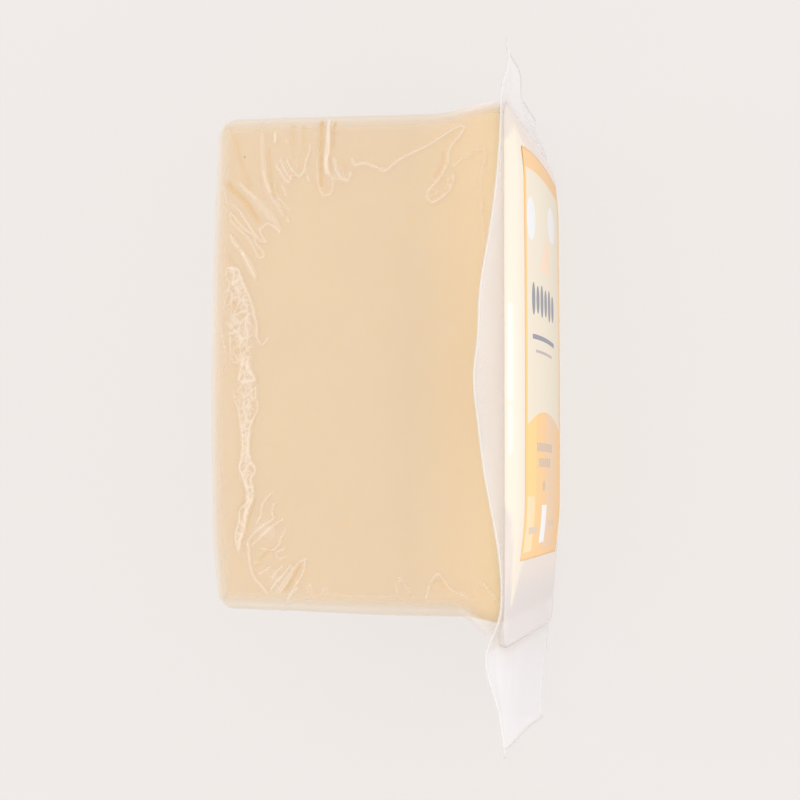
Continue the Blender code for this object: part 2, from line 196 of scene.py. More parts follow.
# Routes of the film's folds on the upper side, in pixels of the photograph.
# A style is: strength of the pale line (the lifted film's whitish haze with a painted highlight), half width
# in pixels, height in metres.
THIN = 1.25
MEDIUM = 1.8
BROAD = (0.60, MEDIUM, 0.0004)
STRONG = (0.65, THIN, 0.0004)
CLEAR = (0.60, THIN, 0.0003)
SOFT = (0.55, THIN, 0.0003)
SOFTER = (0.50, THIN, 0.0003)
THREAD = (0.45, THIN, 0.0002)
FAINT = (0.30, THIN, 0.0002)
FOLD_ROUTES = (
    # the upright fold over the top edge and its loop
    ((0.70, THIN, 0.0002), ((329, 119), (329, 151), (327.5, 158), (327, 166), (329, 174))),
    ((0.55, THIN, 0.0002), ((318.5, 151), (317.8, 171), (319.3, 184.7), (322.3, 193), (326.4, 195.5),
     (331.5, 192.3), (333, 187.8), (333, 179.6), (328.5, 173.5))),
    (BROAD, ((334.6, 159), (336.6, 171), (340.7, 177.6), (347.9, 180.6), (351, 173.5))),
    ((0.45, MEDIUM, 0.0003), ((328.5, 173.5), (334.6, 178.6), (345.8, 178.6))),
    # short folds beside it
    (CLEAR, ((310.6, 145), (309, 153), (304.5, 167.3), (307, 173.5), (309, 181.6))),
    (CLEAR, ((287.7, 161), (291.7, 169.4), (300, 176.5), (305.5, 167.3))),
    (SOFTER, ((280.5, 160), (284.6, 169.4), (289.7, 177.5))),
    ((0.65, THIN, 0.0003), ((276.4, 165.3), (282.5, 175.5), (288.7, 182.6), (291.7, 175.5))),
    ((0.75, MEDIUM, 0.0003), ((275.4, 133), (275, 142))),
    ((0.55, MEDIUM, 0.0002), ((286.6, 140.5), (287.4, 142))),
    (FAINT, ((293, 128), (294, 150), (297, 166))),
    (FAINT, ((301, 126), (300, 146))),
    (FAINT, ((315, 128), (314, 160))),
    # the long bent folds from the top edge and the back corner
    (THREAD, ((263.5, 172), (266, 182), (270.3, 192))),
    (SOFT, ((274.4, 184.7), (276.4, 194), (282.5, 202), (289.7, 210))),
    ((0.40, MEDIUM, 0.0003), ((283.6, 186.7), (285.6, 195))),
    (CLEAR, ((286.6, 218), (289, 222.4))),
    (FAINT, ((240.7, 183.7), (249, 192), (257, 198))),
    (CLEAR, ((279.5, 232.7), (276.4, 228.6), (268.3, 223.5), (265.2, 225.5), (260, 229.6), (262, 235.7),
     (266.2, 241.8))),
    (STRONG, ((224.4, 186.7), (226.4, 198), (228.5, 203), (238.7, 210), (245.8, 220.4), (253, 231.6),
     (261, 240.8), (266, 242))),
    (CLEAR, ((231.5, 213.3), (238.7, 222.4), (247.9, 231.6), (254, 235.7), (256, 243), (263, 252),
     (263, 257), (258, 257), (254, 248), (248.9, 238.8), (240.7, 230.6), (232.5, 222.4), (229.5, 212.2))),
    ((0.40, THIN, 0.0002), ((231.5, 236.7), (232.5, 242.9), (237.7, 247))),
    ((0.35, MEDIUM, 0.0002), ((243, 252), (247, 262), (254.5, 276))),
    # rings at the top of the crinkled band, and its two sides
    (SOFT, ((226.4, 268.4), (226.5, 276), (229.5, 282.7), (236.6, 281.6), (239.5, 275), (237, 268.5),
     (226.4, 268.4))),
    (SOFT, ((223.4, 294), (224.4, 303), (229.5, 305), (232.5, 296), (228.5, 290), (223.4, 294))),
    ((0.60, THIN, 0.0004), ((238.7, 271.4), (245.8, 288.8), (251, 301), (254, 313), (257, 325.5),
     (257, 336.7), (262, 345), (268.3, 337.8))),
    (SOFT, ((229.5, 283.7), (224.4, 307), (221.3, 318.4), (222.3, 334.7), (226, 352))),
    (SOFTER, ((221.3, 318.4), (231.5, 326.5), (238.7, 335), (241, 339))),
    (SOFTER, ((220.3, 335.7), (225.4, 334.7), (235.6, 331.6))),
    ((0.45, THIN, 0.0003), ((230.5, 337.8), (231, 358), (236, 363.3), (246, 357))),
    (BROAD, ((243.8, 358), (240.7, 370), (239.7, 380.6), (247.9, 380.6), (255, 379.6), (247.9, 367),
     (248.9, 357))),
    ((0.40, THIN, 0.0002), ((221.3, 336.7), (225.4, 362), (220.3, 377.5))),
    (SOFTER, ((232.5, 390), (235.6, 401), (238.7, 409), (241, 424), (242.9, 440))),
    (SOFTER, ((256, 387), (256, 398), (258, 409), (251, 424), (248.6, 440))),
    # the narrow part of the band, its knot and the two lines below
    (CLEAR, ((242.9, 440), (241.7, 457), (239.4, 468.7), (244, 478), (247.5, 489.4), (248.6, 500.8),
     (240.6, 508.9), (239.4, 519.2), (236, 531.8), (236, 543.3), (238.3, 551.3))),
    (CLEAR, ((248.6, 440), (249.2, 457), (255.5, 469.8), (251, 479), (253.2, 490.5), (250.9, 504.3),
     (245.2, 513.5), (245.2, 523.8), (240.6, 539.9), (238.3, 551.3))),
    (THREAD, ((226.8, 479), (222.2, 490.5), (219.9, 511.2))),
    # the fan at the bottom corner of the back
    (CLEAR, ((271.6, 492.8), (262.4, 504.3), (261.2, 514.6), (256.7, 522.6))),
    (CLEAR, ((275, 503), (271.6, 511.2), (273.9, 518), (267, 522.6), (255.5, 531.8), (248.6, 539.9),
     (247, 546))),
    (CLEAR, ((283, 519.2), (273.9, 524.9), (262.4, 535.3), (252, 545))),
    (CLEAR, ((285.4, 529.5), (280.8, 538.7), (278.5, 545.6), (271.6, 550.2), (262, 549))),
    (BROAD, ((248.6, 543.3), (249.8, 560.5), (253.2, 575.4), (262.4, 586.9), (267, 592.7))),
    ((0.55, MEDIUM, 0.0003), ((255, 562), (259, 563))),
    (SOFT, ((284.2, 547.9), (276.2, 553.6), (279.6, 559.4), (285.4, 555.9))),
    (SOFT, ((283, 565.7), (276.2, 572), (272.7, 577.7))),
    (CLEAR, ((291, 565), (280.8, 577.7), (276.2, 582.3), (271, 590))),
    (SOFT, ((269.3, 567.4), (259, 574))),
    (CLEAR, ((293.4, 567.4), (283, 583.5), (276.2, 592.7))),
    (STRONG, ((306, 558.2), (296.8, 565), (290, 577.7), (279.6, 592.7))),
    (STRONG, ((306, 558.2), (302.6, 573), (294.5, 587), (287.6, 597.3))),
    ((0.70, MEDIUM, 0.0004), ((297, 588), (289, 597), (287, 604))),
    (SOFTER, ((287.6, 597.3), (302.6, 600), (311.8, 597.3))),
    # the line along the bottom edge and its peaks
    (SOFTER, ((308.3, 593), (307.5, 587), (309.5, 584), (312, 589), (311.5, 594))),
    (SOFTER, ((322, 594), (324, 588), (326.7, 585.8), (329, 593.8), (345, 595.5), (363, 596.5),
     (397, 596.5))),
    (SOFTER, ((395, 597), (398, 585), (400, 577), (405, 584), (413, 596))),
    (BROAD, ((425.9, 598.7), (428.8, 588.4), (433.2, 578), (439, 573.7), (445, 582.5), (453.7, 591.3),
     (469.9, 597.2))),
    ((0.45, MEDIUM, 0.0004), ((477.2, 587), (483, 582.5), (489, 590), (496.3, 598.7))),
    # the long line across the top to the front corner, which comes back in a loop
    ((0.65, MEDIUM, 0.0004), ((352, 160), (356, 165), (364, 163), (372, 166), (380, 168.6), (385.6, 170.7),
     (398.2, 160.2), (415, 151.7), (429, 144.7), (446, 133.5), (458.6, 126.5), (464.2, 126.5),
     (461.4, 133.5), (453, 143.3), (448.8, 151.7), (447.4, 163), (441.7, 174.2), (436, 182.6), (429, 189.6),
     (427.7, 198), (433.3, 202.2), (440.3, 198), (448.8, 191), (453, 179.8), (453, 174.2))),
    (THREAD, ((431, 189), (436, 190), (436, 194), (431, 196))),
    (THREAD, ((447, 178), (449, 184), (444, 190))),
    ((0.42, MEDIUM, 0.0003), ((454.4, 165.8), (464.2, 157.3), (481, 149), (486, 153), (485.2, 160),
     (482.4, 171.4), (480.3, 188), (481, 202), (483.8, 223), (484.5, 258), (484, 320))),
)

FOLD_PALENESS = 0.80
FOLD_RELIEF = 0.40
ROUTE_REACH = 3.0
RELIEF_SPREAD = 1.3
BAND_REACH = 2.5

# Broad soft bands of lifted film: strength, height in metres, and the route as rows of a pixel and half width
BAND_ROUTES = (
    (0.36, 0.0003, ((262, 121, 2.2), (262.5, 140, 3.0), (263.5, 160, 3.2), (266, 180, 3.4), (271, 195, 4.2),
     (278, 206, 3.4), (284, 216, 1.6))),
    (0.38, 0.0003, ((238, 182, 1.5), (245, 189, 2.6), (255, 199, 4.6), (264, 208, 6.2), (272, 217, 5.2),
     (278, 226, 3.0), (280, 232, 1.6))),
    (0.60, 0.0004, ((328.5, 119, 2.4), (328, 140, 2.6), (326, 160, 2.8), (327, 172, 2.4))),
    (0.30, 0.0, ((262, 124, 1.5), (280, 121.5, 2.5), (310, 121, 2.5), (340, 121, 2.0))),
    (0.42, 0.0002, ((243, 254, 1.8), (248, 262, 4.2), (253, 272, 3.6), (256, 280, 1.5))),
    (0.40, 0.0002, ((231, 236, 1.5), (236, 244, 2.6), (243, 254, 2.6))),
    (0.38, 0.0002, ((232, 270, 5), (238, 285, 7), (243, 305, 10), (245, 325, 12), (244, 340, 11),
     (243, 350, 8), (246, 362, 6), (249, 378, 8), (248, 400, 8), (246, 420, 6), (246, 440, 4),
     (246, 455, 4), (247, 468, 7), (247, 480, 5), (250, 495, 4.5), (248, 508, 4), (244, 520, 3.5),
     (241, 535, 4.5), (240, 548, 2.5))),
)

# Painted shade, golden, in the troughs beside the folds: strength, half width in pixels, route
TROUGH_ROUTES = (
    (0.60, 1.9, ((321.5, 122), (321, 135), (320.5, 165), (321.5, 186))),
    (0.50, 1.3, ((335, 122), (334.5, 135), (333.5, 147))),
    (0.30, 2.2, ((292.5, 128), (293.5, 140), (294, 157))),
    (0.30, 3.5, ((236, 140), (240, 158), (245, 172), (250, 186))),
    (0.65, 2.6, ((229, 184), (233, 190), (239, 195.5), (245, 201.5), (251.5, 210.5), (258, 219.5))),
    (0.35, 2.0, ((269, 150), (270, 167), (272.5, 184), (276, 196))),
    (0.25, 2.0, ((304, 128), (305, 150))),
    (0.30, 2.0, ((343, 160), (346, 170))),
    (0.35, 1.8, ((270, 549), (262, 557), (256, 566))),
    (0.45, 1.6, ((300, 566), (294, 577), (286, 590))),
    (0.35, 1.8, ((229, 255), (233, 262), (238, 266))),
    (0.30, 2.2, ((232, 300), (237, 309), (243, 316))),
    (0.30, 2.2, ((233, 345), (240, 350), (247, 352))),
    (0.35, 1.8, ((255, 500), (251, 512), (246, 527), (243, 541))),
    (0.30, 1.8, ((243, 486), (244, 498), (238, 510))),
    (0.30, 1.8, ((432, 584), (438, 580), (444, 588))),
    (0.30, 2.0, ((443, 152), (441, 165), (436, 176))),
)

# Soft hazy patches where the film stands off the cheese: strength, middle and half sizes in pixels, slant
HAZE_PATCHES = (
    (0.45, (266, 530), (15, 12), -40),
    (0.35, (276, 578), (16, 12), -30),
    (0.28, (284, 168), (12, 18), 8),
    (0.30, (342, 172), (9, 10), 0),
    (0.18, (256, 226), (18, 26), -38),
    (0.18, (322, 176), (7, 20), 0),
)
PATCH_FALL = 1.2

# Crinkled net in the band beside the back edge: pixel row, the band's middle and its half width there
NET_ROWS = ((262, 233, 4), (285, 238, 8), (310, 241, 11), (335, 242, 13), (352, 242, 10), (370, 246, 6),
            (395, 246, 9), (420, 247, 6), (450, 246, 4), (465, 247, 8), (480, 247, 5), (495, 250, 5),
            (508, 248, 4), (520, 244, 4), (535, 241, 5), (550, 240, 4))
NET_CELL = 0.00085
NET_COARSE = 2.1
NET_SQUEEZE = 0.7
NET_LINE = 0.34
NET_STRENGTH = 0.48
NET_HEIGHT = 0.00010
NET_SEED = 7
NET_SIDE = 1.6
NET_END = 0.002
NET_LEAST = 0.01
NET_SWIRL = 0.00035
# Waves that bend the net and vary its strength: length, bend, length of the bend
NET_SWIRL_X = (0.0009, 3.0, 0.0016)
NET_SWIRL_Y = (0.0008, 2.0, 0.0021)
NET_PATCHES = (0.0011, 1.3, 0.0017)
NET_PATCH_LENGTH = 0.0026
NET_PATCH_SHARE = 0.3


def flare(x, reach, flat=0.0):
    """Share of the film's lift at the place x along the depth, whole over a flat stretch at the flange."""
    return smooth((x - FLANGE_X + reach) / (reach - flat)) * smooth((HALF_DEPTH + GAP - x) / FLANGE_SETBACK)


def top_shift(x, share=1.0):
    """How far the top end lies above its plane, with the given share of the film's lift."""
    slope = TOP_SLOPE * smooth((x + HALF_DEPTH) / (HALF_DEPTH + FLANGE_X))
    return TOP_RISE - slope + share * TOP_FLARE * flare(x, TOP_FLARE_REACH, TOP_FLARE_FLAT)


def bottom_shift(x, share=1.0):
    """How far the bottom end lies below its plane, with the given share of the film's lift."""
    slope = BOTTOM_SLOPE * smooth((BOTTOM_SLOPE_END - x) / (BOTTOM_SLOPE_END + HALF_DEPTH))
    return share * BOTTOM_FLARE * flare(x, BOTTOM_FLARE_REACH) - slope


def front_crown(y, z):
    """How far the front face swells at the height z above its middle."""
    return FRONT_CROWN * (1.0 - (y / HALF_LENGTH) ** 2) * (1.0 - (z / HALF_WIDTH) ** 2)


def front_taper(y):
    """How far the front face draws in towards its two ends."""
    low = FRONT_LOW_TAPER * smooth((-y - FRONT_LOW_START) / (HALF_LENGTH - FRONT_LOW_START))
    high = FRONT_HIGH_TAPER * smooth((y - FRONT_HIGH_START) / (HALF_LENGTH - FRONT_HIGH_START))
    return low + high


def block_surface(box, tent):
    """Turns points on a plain box about the block's middle into points on the block.

    tent is the share of the film's lift towards the flange: 1 for the film, less for the cheese.
    It returns the points and their outward directions.
    """
    half = np.array((HALF_DEPTH, HALF_LENGTH, HALF_WIDTH))
    radius = BACK_EDGE_RADIUS + (FRONT_EDGE_RADIUS - BACK_EDGE_RADIUS) * smooth(box[:, 0] / BLOCK_DEPTH + 0.5)
    radius = radius[:, None]
    core = np.clip(box, radius - half, half - radius)
    away = box - core
    normal = away / np.linalg.norm(away, axis=1)[:, None]
    moved = core + radius * normal
    x, y, z = moved.T.copy()
    proud = np.clip((x - FLANGE_X) / FLANGE_SETBACK, 0.0, 1.0)
    drawn_in = BACK_LOW_TAPER * smooth((-y - BACK_LOW_START) / (HALF_LENGTH - BACK_LOW_START))
    moved[:, 1] += smooth(y / HALF_LENGTH) * top_shift(x, tent[0])
    moved[:, 1] -= smooth(-y / HALF_LENGTH) * bottom_shift(x, tent[1])
    moved[:, 2] += smooth(z / HALF_WIDTH) * SIDE_FLARE * tent[2] * flare(x, BOTTOM_FLARE_REACH)
    moved[:, 0] += smooth(x / HALF_DEPTH) * front_crown(y, z) - proud * front_taper(y)
    moved[:, 0] += smooth(-x / HALF_DEPTH) * (drawn_in - BACK_CROWN * (1.0 - (y / HALF_LENGTH) ** 2))
    moved[:, 2] += HALF_WIDTH
    recess = RECESS_DEPTH * smooth((x - RECESS_EDGE) / RECESS_RAMP)
    moved[:, 2] += recess * smooth(1.0 - moved[:, 2] / HALF_WIDTH)
    return moved, normal


def spaced(*stretches):
    """Grid lines from stretches of (end, step), each from where the last one ended; the first is a start."""
    places = [stretches[0]]
    for end, step in stretches[1:]:
        cells = max(1, round(abs(end - places[-1]) / step))
        places += list(np.linspace(places[-1], end, cells + 1)[1:])
    return np.array(places)


def grid_faces(shape):
    """The four corner numbers of each cell of a grid of points."""
    number = np.arange(shape[0] * shape[1]).reshape(shape)
    return np.stack((number[:-1, :-1], number[1:, :-1], number[1:, 1:], number[:-1, 1:]), axis=-1)


def box_grid(lines):
    """Points on the surface of a box with the given grid lines, and its faces turned outwards."""
    sizes = [len(line) - 1 for line in lines]
    keys = []
    corners = []
    for axis in range(3):
        first, second = (axis + 1) % 3, (axis + 2) % 3
        i, j = np.meshgrid(np.arange(sizes[first] + 1), np.arange(sizes[second] + 1), indexing="ij")
        for side in (0, sizes[axis]):
            place = np.zeros((i.size, 3), dtype=np.int64)
            place[:, axis] = side
            place[:, first] = i.ravel()
            place[:, second] = j.ravel()
            start = sum(len(k) for k in keys)
            keys.append(place)
            ring = grid_faces(i.shape) + start
            corners.append((ring if side else ring[..., ::-1]).reshape(-1, 4))
    keys = np.concatenate(keys)
    unique, where = np.unique(keys, axis=0, return_inverse=True)
    faces = where.ravel()[np.concatenate(corners)]
    points = np.stack([np.asarray(lines[axis])[unique[:, axis]] for axis in range(3)], axis=1)
    return points, faces


def add_object(name, data):
    """Adds an object to the scene."""
    made = bpy.data.objects.new(name, data)
    bpy.context.scene.collection.objects.link(made)
    return made


def make_mesh_object(name, points, faces, materials, smooth_shade=True):
    """Makes an object from arrays of points and faces."""
    mesh = bpy.data.meshes.new(name)
    mesh.from_pydata(points.tolist(), [], faces.tolist() if hasattr(faces, "tolist") else faces)
    mesh.update()
    if smooth_shade:
        mesh.shade_smooth()
    for material in materials:
        mesh.materials.append(material)
    return add_object(name, mesh)


def set_attributes(thing, **values):
    """Stores one number for each of the mesh's points, under each of the names."""
    for name, numbers in values.items():
        layer = thing.data.attributes.new(name, "FLOAT", "POINT")
        layer.data.foreach_set("value", np.asarray(numbers, dtype=np.float32))


# Folds of the film

def rounded_route(points, steps=4):
    """A smooth route through the given points."""
    points = np.array(points, dtype=float)
    if len(points) < 3:
        return points
    padded = np.vstack((2 * points[0] - points[1], points, 2 * points[-1] - points[-2]))
    route = []
    for k in range(1, len(padded) - 2):
        before, start, end, after = padded[k - 1:k + 3]
        for t in np.arange(steps) / steps:
            route.append(0.5 * (2 * start + (end - before) * t
                                + (2 * before - 5 * start + 4 * end - after) * t ** 2
                                + (3 * start - before - 3 * end + after) * t ** 3))
    route.append(points[-1])
    return np.array(route)


def photo_route(pixels):
    """A smooth route on the upper side through pixels of the photograph."""
    return rounded_route([side_point(*pixel) for pixel in pixels])


def route_distance(points, route, reach):
    """Distance from each point to a route, worked out only within reach of it.

    Where the route has a half width as its third column, the distance is over that width.
    """
    low = route[:, :2].min(axis=0) - reach
    high = route[:, :2].max(axis=0) + reach
    near = np.where(np.all((points > low) & (points < high), axis=1))[0]
    part = points[near]
    best = np.full(len(near), np.inf)
    for start, end in zip(route[:-1], route[1:]):
        span = end[:2] - start[:2]
        share = np.clip((part - start[:2]) @ span / max(span @ span, TINY), 0.0, 1.0)
        foot = start[:2] + share[:, None] * span
        half = start[2] + share * (end[2] - start[2]) if len(start) > 2 else 1.0
        best = np.minimum(best, np.linalg.norm(part - foot, axis=1) / half)
    distance = np.full(len(points), np.inf)
    distance[near] = best
    return distance


def net_ridges(points, cell, seed):
    """Nearness to the borders of an uneven net of cells, 1 on a border."""
    rng = np.random.default_rng(seed)
    low = points.min(axis=0) - 2 * cell
    counts = np.ceil((points.max(axis=0) + 2 * cell - low) / cell).astype(int) + 1
    jitter = rng.random((counts[0], counts[1], 2))
    home = np.floor((points - low) / cell).astype(int)
    first = np.full(len(points), np.inf)
    second = np.full(len(points), np.inf)
    for di in (-1, 0, 1):
        for dj in (-1, 0, 1):
            i = np.clip(home[:, 0] + di, 0, counts[0] - 1)
            j = np.clip(home[:, 1] + dj, 0, counts[1] - 1)
            seeds = low + (np.stack((i, j), axis=1) + jitter[i, j]) * cell
            distance = np.linalg.norm(points - seeds, axis=1)
            nearer = distance < first
            second = np.where(nearer, first, np.minimum(second, distance))
            first = np.where(nearer, distance, first)
    return np.clip(1.0 - (second - first) / (NET_LINE * cell), 0.0, 1.0)


def bent_wave(along, across, wave):
    """A wave along one direction whose crests bend along the other."""
    length, bend, bend_length = wave
    return np.sin(along / length + bend * np.sin(across / bend_length))


def veiled(pale, share):
    """Paleness after a share of what still shows through is veiled too."""
    return 1.0 - (1.0 - pale) * (1.0 - share)


def crinkled_net(flat, pixel):
    """The numbers of the points near the crinkled band, and how far each is on one of its ridges."""
    rows = np.array([side_point(middle, row) for row, middle, half in NET_ROWS])
    widths = np.array([half for row, middle, half in NET_ROWS]) * pixel
    order = np.argsort(rows[:, 1])
    middle = np.interp(flat[:, 1], rows[order, 1], rows[order, 0])
    half = np.interp(flat[:, 1], rows[order, 1], widths[order])
    inside = smooth(NET_SIDE - np.abs(flat[:, 0] - middle) / half)
    for from_end in (flat[:, 1] - rows[:, 1].min(), rows[:, 1].max() - flat[:, 1]):
        inside *= smooth(from_end / NET_END)
    near = np.where(inside > NET_LEAST)[0]
    x, y = flat[near].T
    swirl = np.column_stack((bent_wave(y, x, NET_SWIRL_X), bent_wave(x, y, NET_SWIRL_Y)))
    laid = flat[near] + NET_SWIRL * swirl
    fine = net_ridges(laid, NET_CELL, NET_SEED)
    coarse = net_ridges(laid * (1.0, NET_SQUEEZE), NET_COARSE * NET_CELL, NET_SEED + 1)
    patches = bent_wave(x, y, NET_PATCHES) * np.sin(y / NET_PATCH_LENGTH + 1.0)
    fine *= 1.0 - NET_PATCH_SHARE + NET_PATCH_SHARE * patches
    return near, np.maximum(fine, coarse) * inside[near]


def soft_patch(flat, pixel, place, sizes, slant):
    """A slanted oval haze with soft borders, 1 in its middle."""
    x, y = (flat - side_point(*place)).T
    turn = math.radians(slant)
    across = (x * math.cos(turn) + y * math.sin(turn)) / (sizes[0] * pixel)
    down = (y * math.cos(turn) - x * math.sin(turn)) / (sizes[1] * pixel)
    return np.exp(-PATCH_FALL * (across ** 2 + down ** 2))


def film_folds(flat):
    """Height, paleness and painted trough shade of the film's folds at points of the laid-out upper surface;
    the paleness is partly painted highlight.
    """
    height, pale, warm = np.zeros((3, len(flat)))
    pixel = abs(side_point(401, 400)[0] - side_point(400, 400)[0])
    for (strength, half_width, peak), route in FOLD_ROUTES:
        half = half_width * pixel
        distance = route_distance(flat, photo_route(route), ROUTE_REACH * half)
        pale = np.maximum(pale, FOLD_PALENESS * strength * bell(distance, half))
        height = np.maximum(height, FOLD_RELIEF * peak * bell(distance, RELIEF_SPREAD * half))
    for strength, peak, route in BAND_ROUTES:
        band = rounded_route([(*side_point(*row[:2]), row[2] * pixel) for row in route])
        crest = bell(route_distance(flat, band, BAND_REACH * band[:, 2].max()), 1.0)
        pale = veiled(pale, strength * crest)
        height = np.maximum(height, peak * crest)
    # Painted shade along the troughs
    for strength, half_width, route in TROUGH_ROUTES:
        half = half_width * pixel
        distance = route_distance(flat, photo_route(route), ROUTE_REACH * half)
        warm = np.maximum(warm, strength * bell(distance, half))
    near, crinkle = crinkled_net(flat, pixel)
    pale[near] = veiled(pale[near], NET_STRENGTH * crinkle)
    height[near] = np.maximum(height[near], NET_HEIGHT * crinkle)
    for strength, *patch in HAZE_PATCHES:
        pale = veiled(pale, strength * soft_patch(flat, pixel, *patch))
    return height, pale, warm * (1.0 - pale)


# Fans of folds at the corners of the faces that the photograph does not show
FAN_SEED = 11
FAN_COUNT = 9
FAN_TURN = 0.3
FAN_START = (0.003, 0.007)
FAN_BEND = (0.009, 0.012)
FAN_BEND_STRAY = 0.001
FAN_END = (0.013, 0.022)
FAN_END_STRAY = 0.002
FAN_HALF_WIDTH = (0.0003, 0.0006)
# Fold lines on the unseen faces, partly haze and partly painted highlight as on the upper side
FAN_PALENESS = 0.5
FAN_HEIGHT = 0.00012
FAN_SPREAD = 1.4
FAN_REACH = 4


def fan_route(rng, corner, inward, k):
    """One fold of a fan, from near a corner into its face."""
    angle = math.pi / 2 * (k + 0.5 + rng.uniform(-FAN_TURN, FAN_TURN)) / FAN_COUNT
    aim = inward * np.array((math.cos(angle), math.sin(angle)))
    start = corner + aim * rng.uniform(*FAN_START)
    bend = corner + aim * rng.uniform(*FAN_BEND) + rng.uniform(-FAN_BEND_STRAY, FAN_BEND_STRAY, 2)
    end = corner + aim * rng.uniform(*FAN_END) + rng.uniform(-FAN_END_STRAY, FAN_END_STRAY, 2)
    return rounded_route((start, bend, end))


def other_side_folds(box):
    """Height and paleness of the folds on the faces that the photograph does not show."""
    rng = np.random.default_rng(FAN_SEED)
    height, pale = np.zeros((2, len(box)))
    faces = (
        (box[:, 0] <= HAIR - HALF_DEPTH, (1, 2), (HALF_LENGTH, HALF_WIDTH)),
        (box[:, 1] >= HALF_LENGTH - HAIR, (0, 2), (HALF_DEPTH, HALF_WIDTH)),
        (box[:, 1] <= HAIR - HALF_LENGTH, (0, 2), (HALF_DEPTH, HALF_WIDTH)),
    )
    for on_face, axes, halves in faces:
        index = np.where(on_face)[0]
        flat = box[index][:, axes]
        for sides in itertools.product((-1, 1), repeat=2):
            if axes[0] == 0 and sides[0] > 0:
                continue
            for k in range(FAN_COUNT):
                route = fan_route(rng, np.multiply(sides, halves), -np.array(sides), k)
                half = rng.uniform(*FAN_HALF_WIDTH)
                distance = route_distance(flat, route, FAN_REACH * half)
                pale[index] = np.maximum(pale[index], FAN_PALENESS * bell(distance, half))
                height[index] = np.maximum(height[index], FAN_HEIGHT * bell(distance, FAN_SPREAD * half))
    return height, pale


# Materials

def feed(socket, value):
    """Links a socket to another one, or sets its value; a colour is three numbers."""
    if isinstance(value, bpy.types.NodeSocket):
        socket.id_data.links.new(value, socket)
    elif socket.type == "RGBA":
        socket.default_value = (*value, 1.0)
    else:
        socket.default_value = value


def set_values(made, **values):
    """Sets a node's properties, or feeds its inputs where the name is one."""
    for key, value in values.items():
        if hasattr(made, key):
            setattr(made, key, value)
        else:
            feed(made.inputs[key.replace("_", " ")], value)
    return made


def node(tree, kind, **values):
    """Adds a shader node of a kind."""
    return set_values(tree.nodes.new("ShaderNode" + kind), **values)


def new_material(name, **values):
    """A node material with its Principled shader."""
    material = bpy.data.materials.new(name)
    material.use_nodes = True
    surface = material.node_tree.nodes["Principled BSDF"]
    return material, material.node_tree, set_values(surface, **values)


def math_node(tree, operation, *inputs, clamp=False):
    """Adds a Math node; an input is a socket or a number."""
    made = node(tree, "Math", operation=operation, use_clamp=clamp)
    for socket, value in zip(made.inputs, inputs):
        feed(socket, value)
    return made.outputs[0]


def times(tree, first, second, clamp=False):
    """The product of two inputs."""
    return math_node(tree, "MULTIPLY", first, second, clamp=clamp)


def mix_colours(tree, share, first, second, blend_type="MIX"):
    """Adds a colour mix; each input is a socket or a value."""
    made = node(tree, "Mix", data_type="RGBA", blend_type=blend_type)
    for index, value in ((0, share), (6, first), (7, second)):
        feed(made.inputs[index], value)
    return made.outputs[2]


def attribute(tree, name):
    """The value of a mesh attribute."""
    return node(tree, "Attribute", attribute_name=name).outputs["Fac"]


def object_places(tree):
    """The place on the piece in metres, as a vector and as its three coordinates."""
    places = node(tree, "TexCoord").outputs["Object"]
    return places, node(tree, "SeparateXYZ", Vector=places).outputs


def noise(tree, places, scale, detail, roughness=0.5):
    """The value of a noise texture at the places."""
    made = node(tree, "TexNoise", Vector=places, Scale=scale, Detail=detail, Roughness=roughness)
    return made.outputs["Fac"]


def add_bump(tree, surface, height, strength, distance):
    """Gives the surface a fine relief."""
    bump = node(tree, "Bump", Height=height, Strength=strength, Distance=distance)
    set_values(surface, Normal=bump.outputs["Normal"])


CHEESE = (0.742, 0.577, 0.394)
CHEESE_WARM = (0.775, 0.610, 0.395)
# Painted light: the cheese's colour at the front, brighter and yellower where light comes through it
CHEESE_LIT_FRONT = (0.885, 0.680, 0.420)
CHEESE_SPECK = (0.80, 0.54, 0.25)
CHEESE_PIT = (0.42, 0.27, 0.12)
CHEESE_FRONT_START = 0.010
CHEESE_FRONT_LENGTH = 0.019
# The faint mottling: scale and detail of its clouds, gain and offset of their contrast, and its share
MOTTLE = (55.0, 3.0)
MOTTLE_GAIN = 1.6
MOTTLE_OFFSET = -0.45
MOTTLE_SHARE = 0.4
CHEESE_GRAIN = (420.0, 2.0, 0.6)
CHEESE_GRAIN_BUMP = (0.08, 0.0002)
# Specks: pixel of the photograph, radius, colour, strength
SPECKS = (
    ((244.5, 157), 0.00035, CHEESE_PIT, 0.75),
    ((411, 221), 0.0009, CHEESE_SPECK, 0.22),
    ((346, 523), 0.0011, CHEESE_SPECK, 0.25),
)


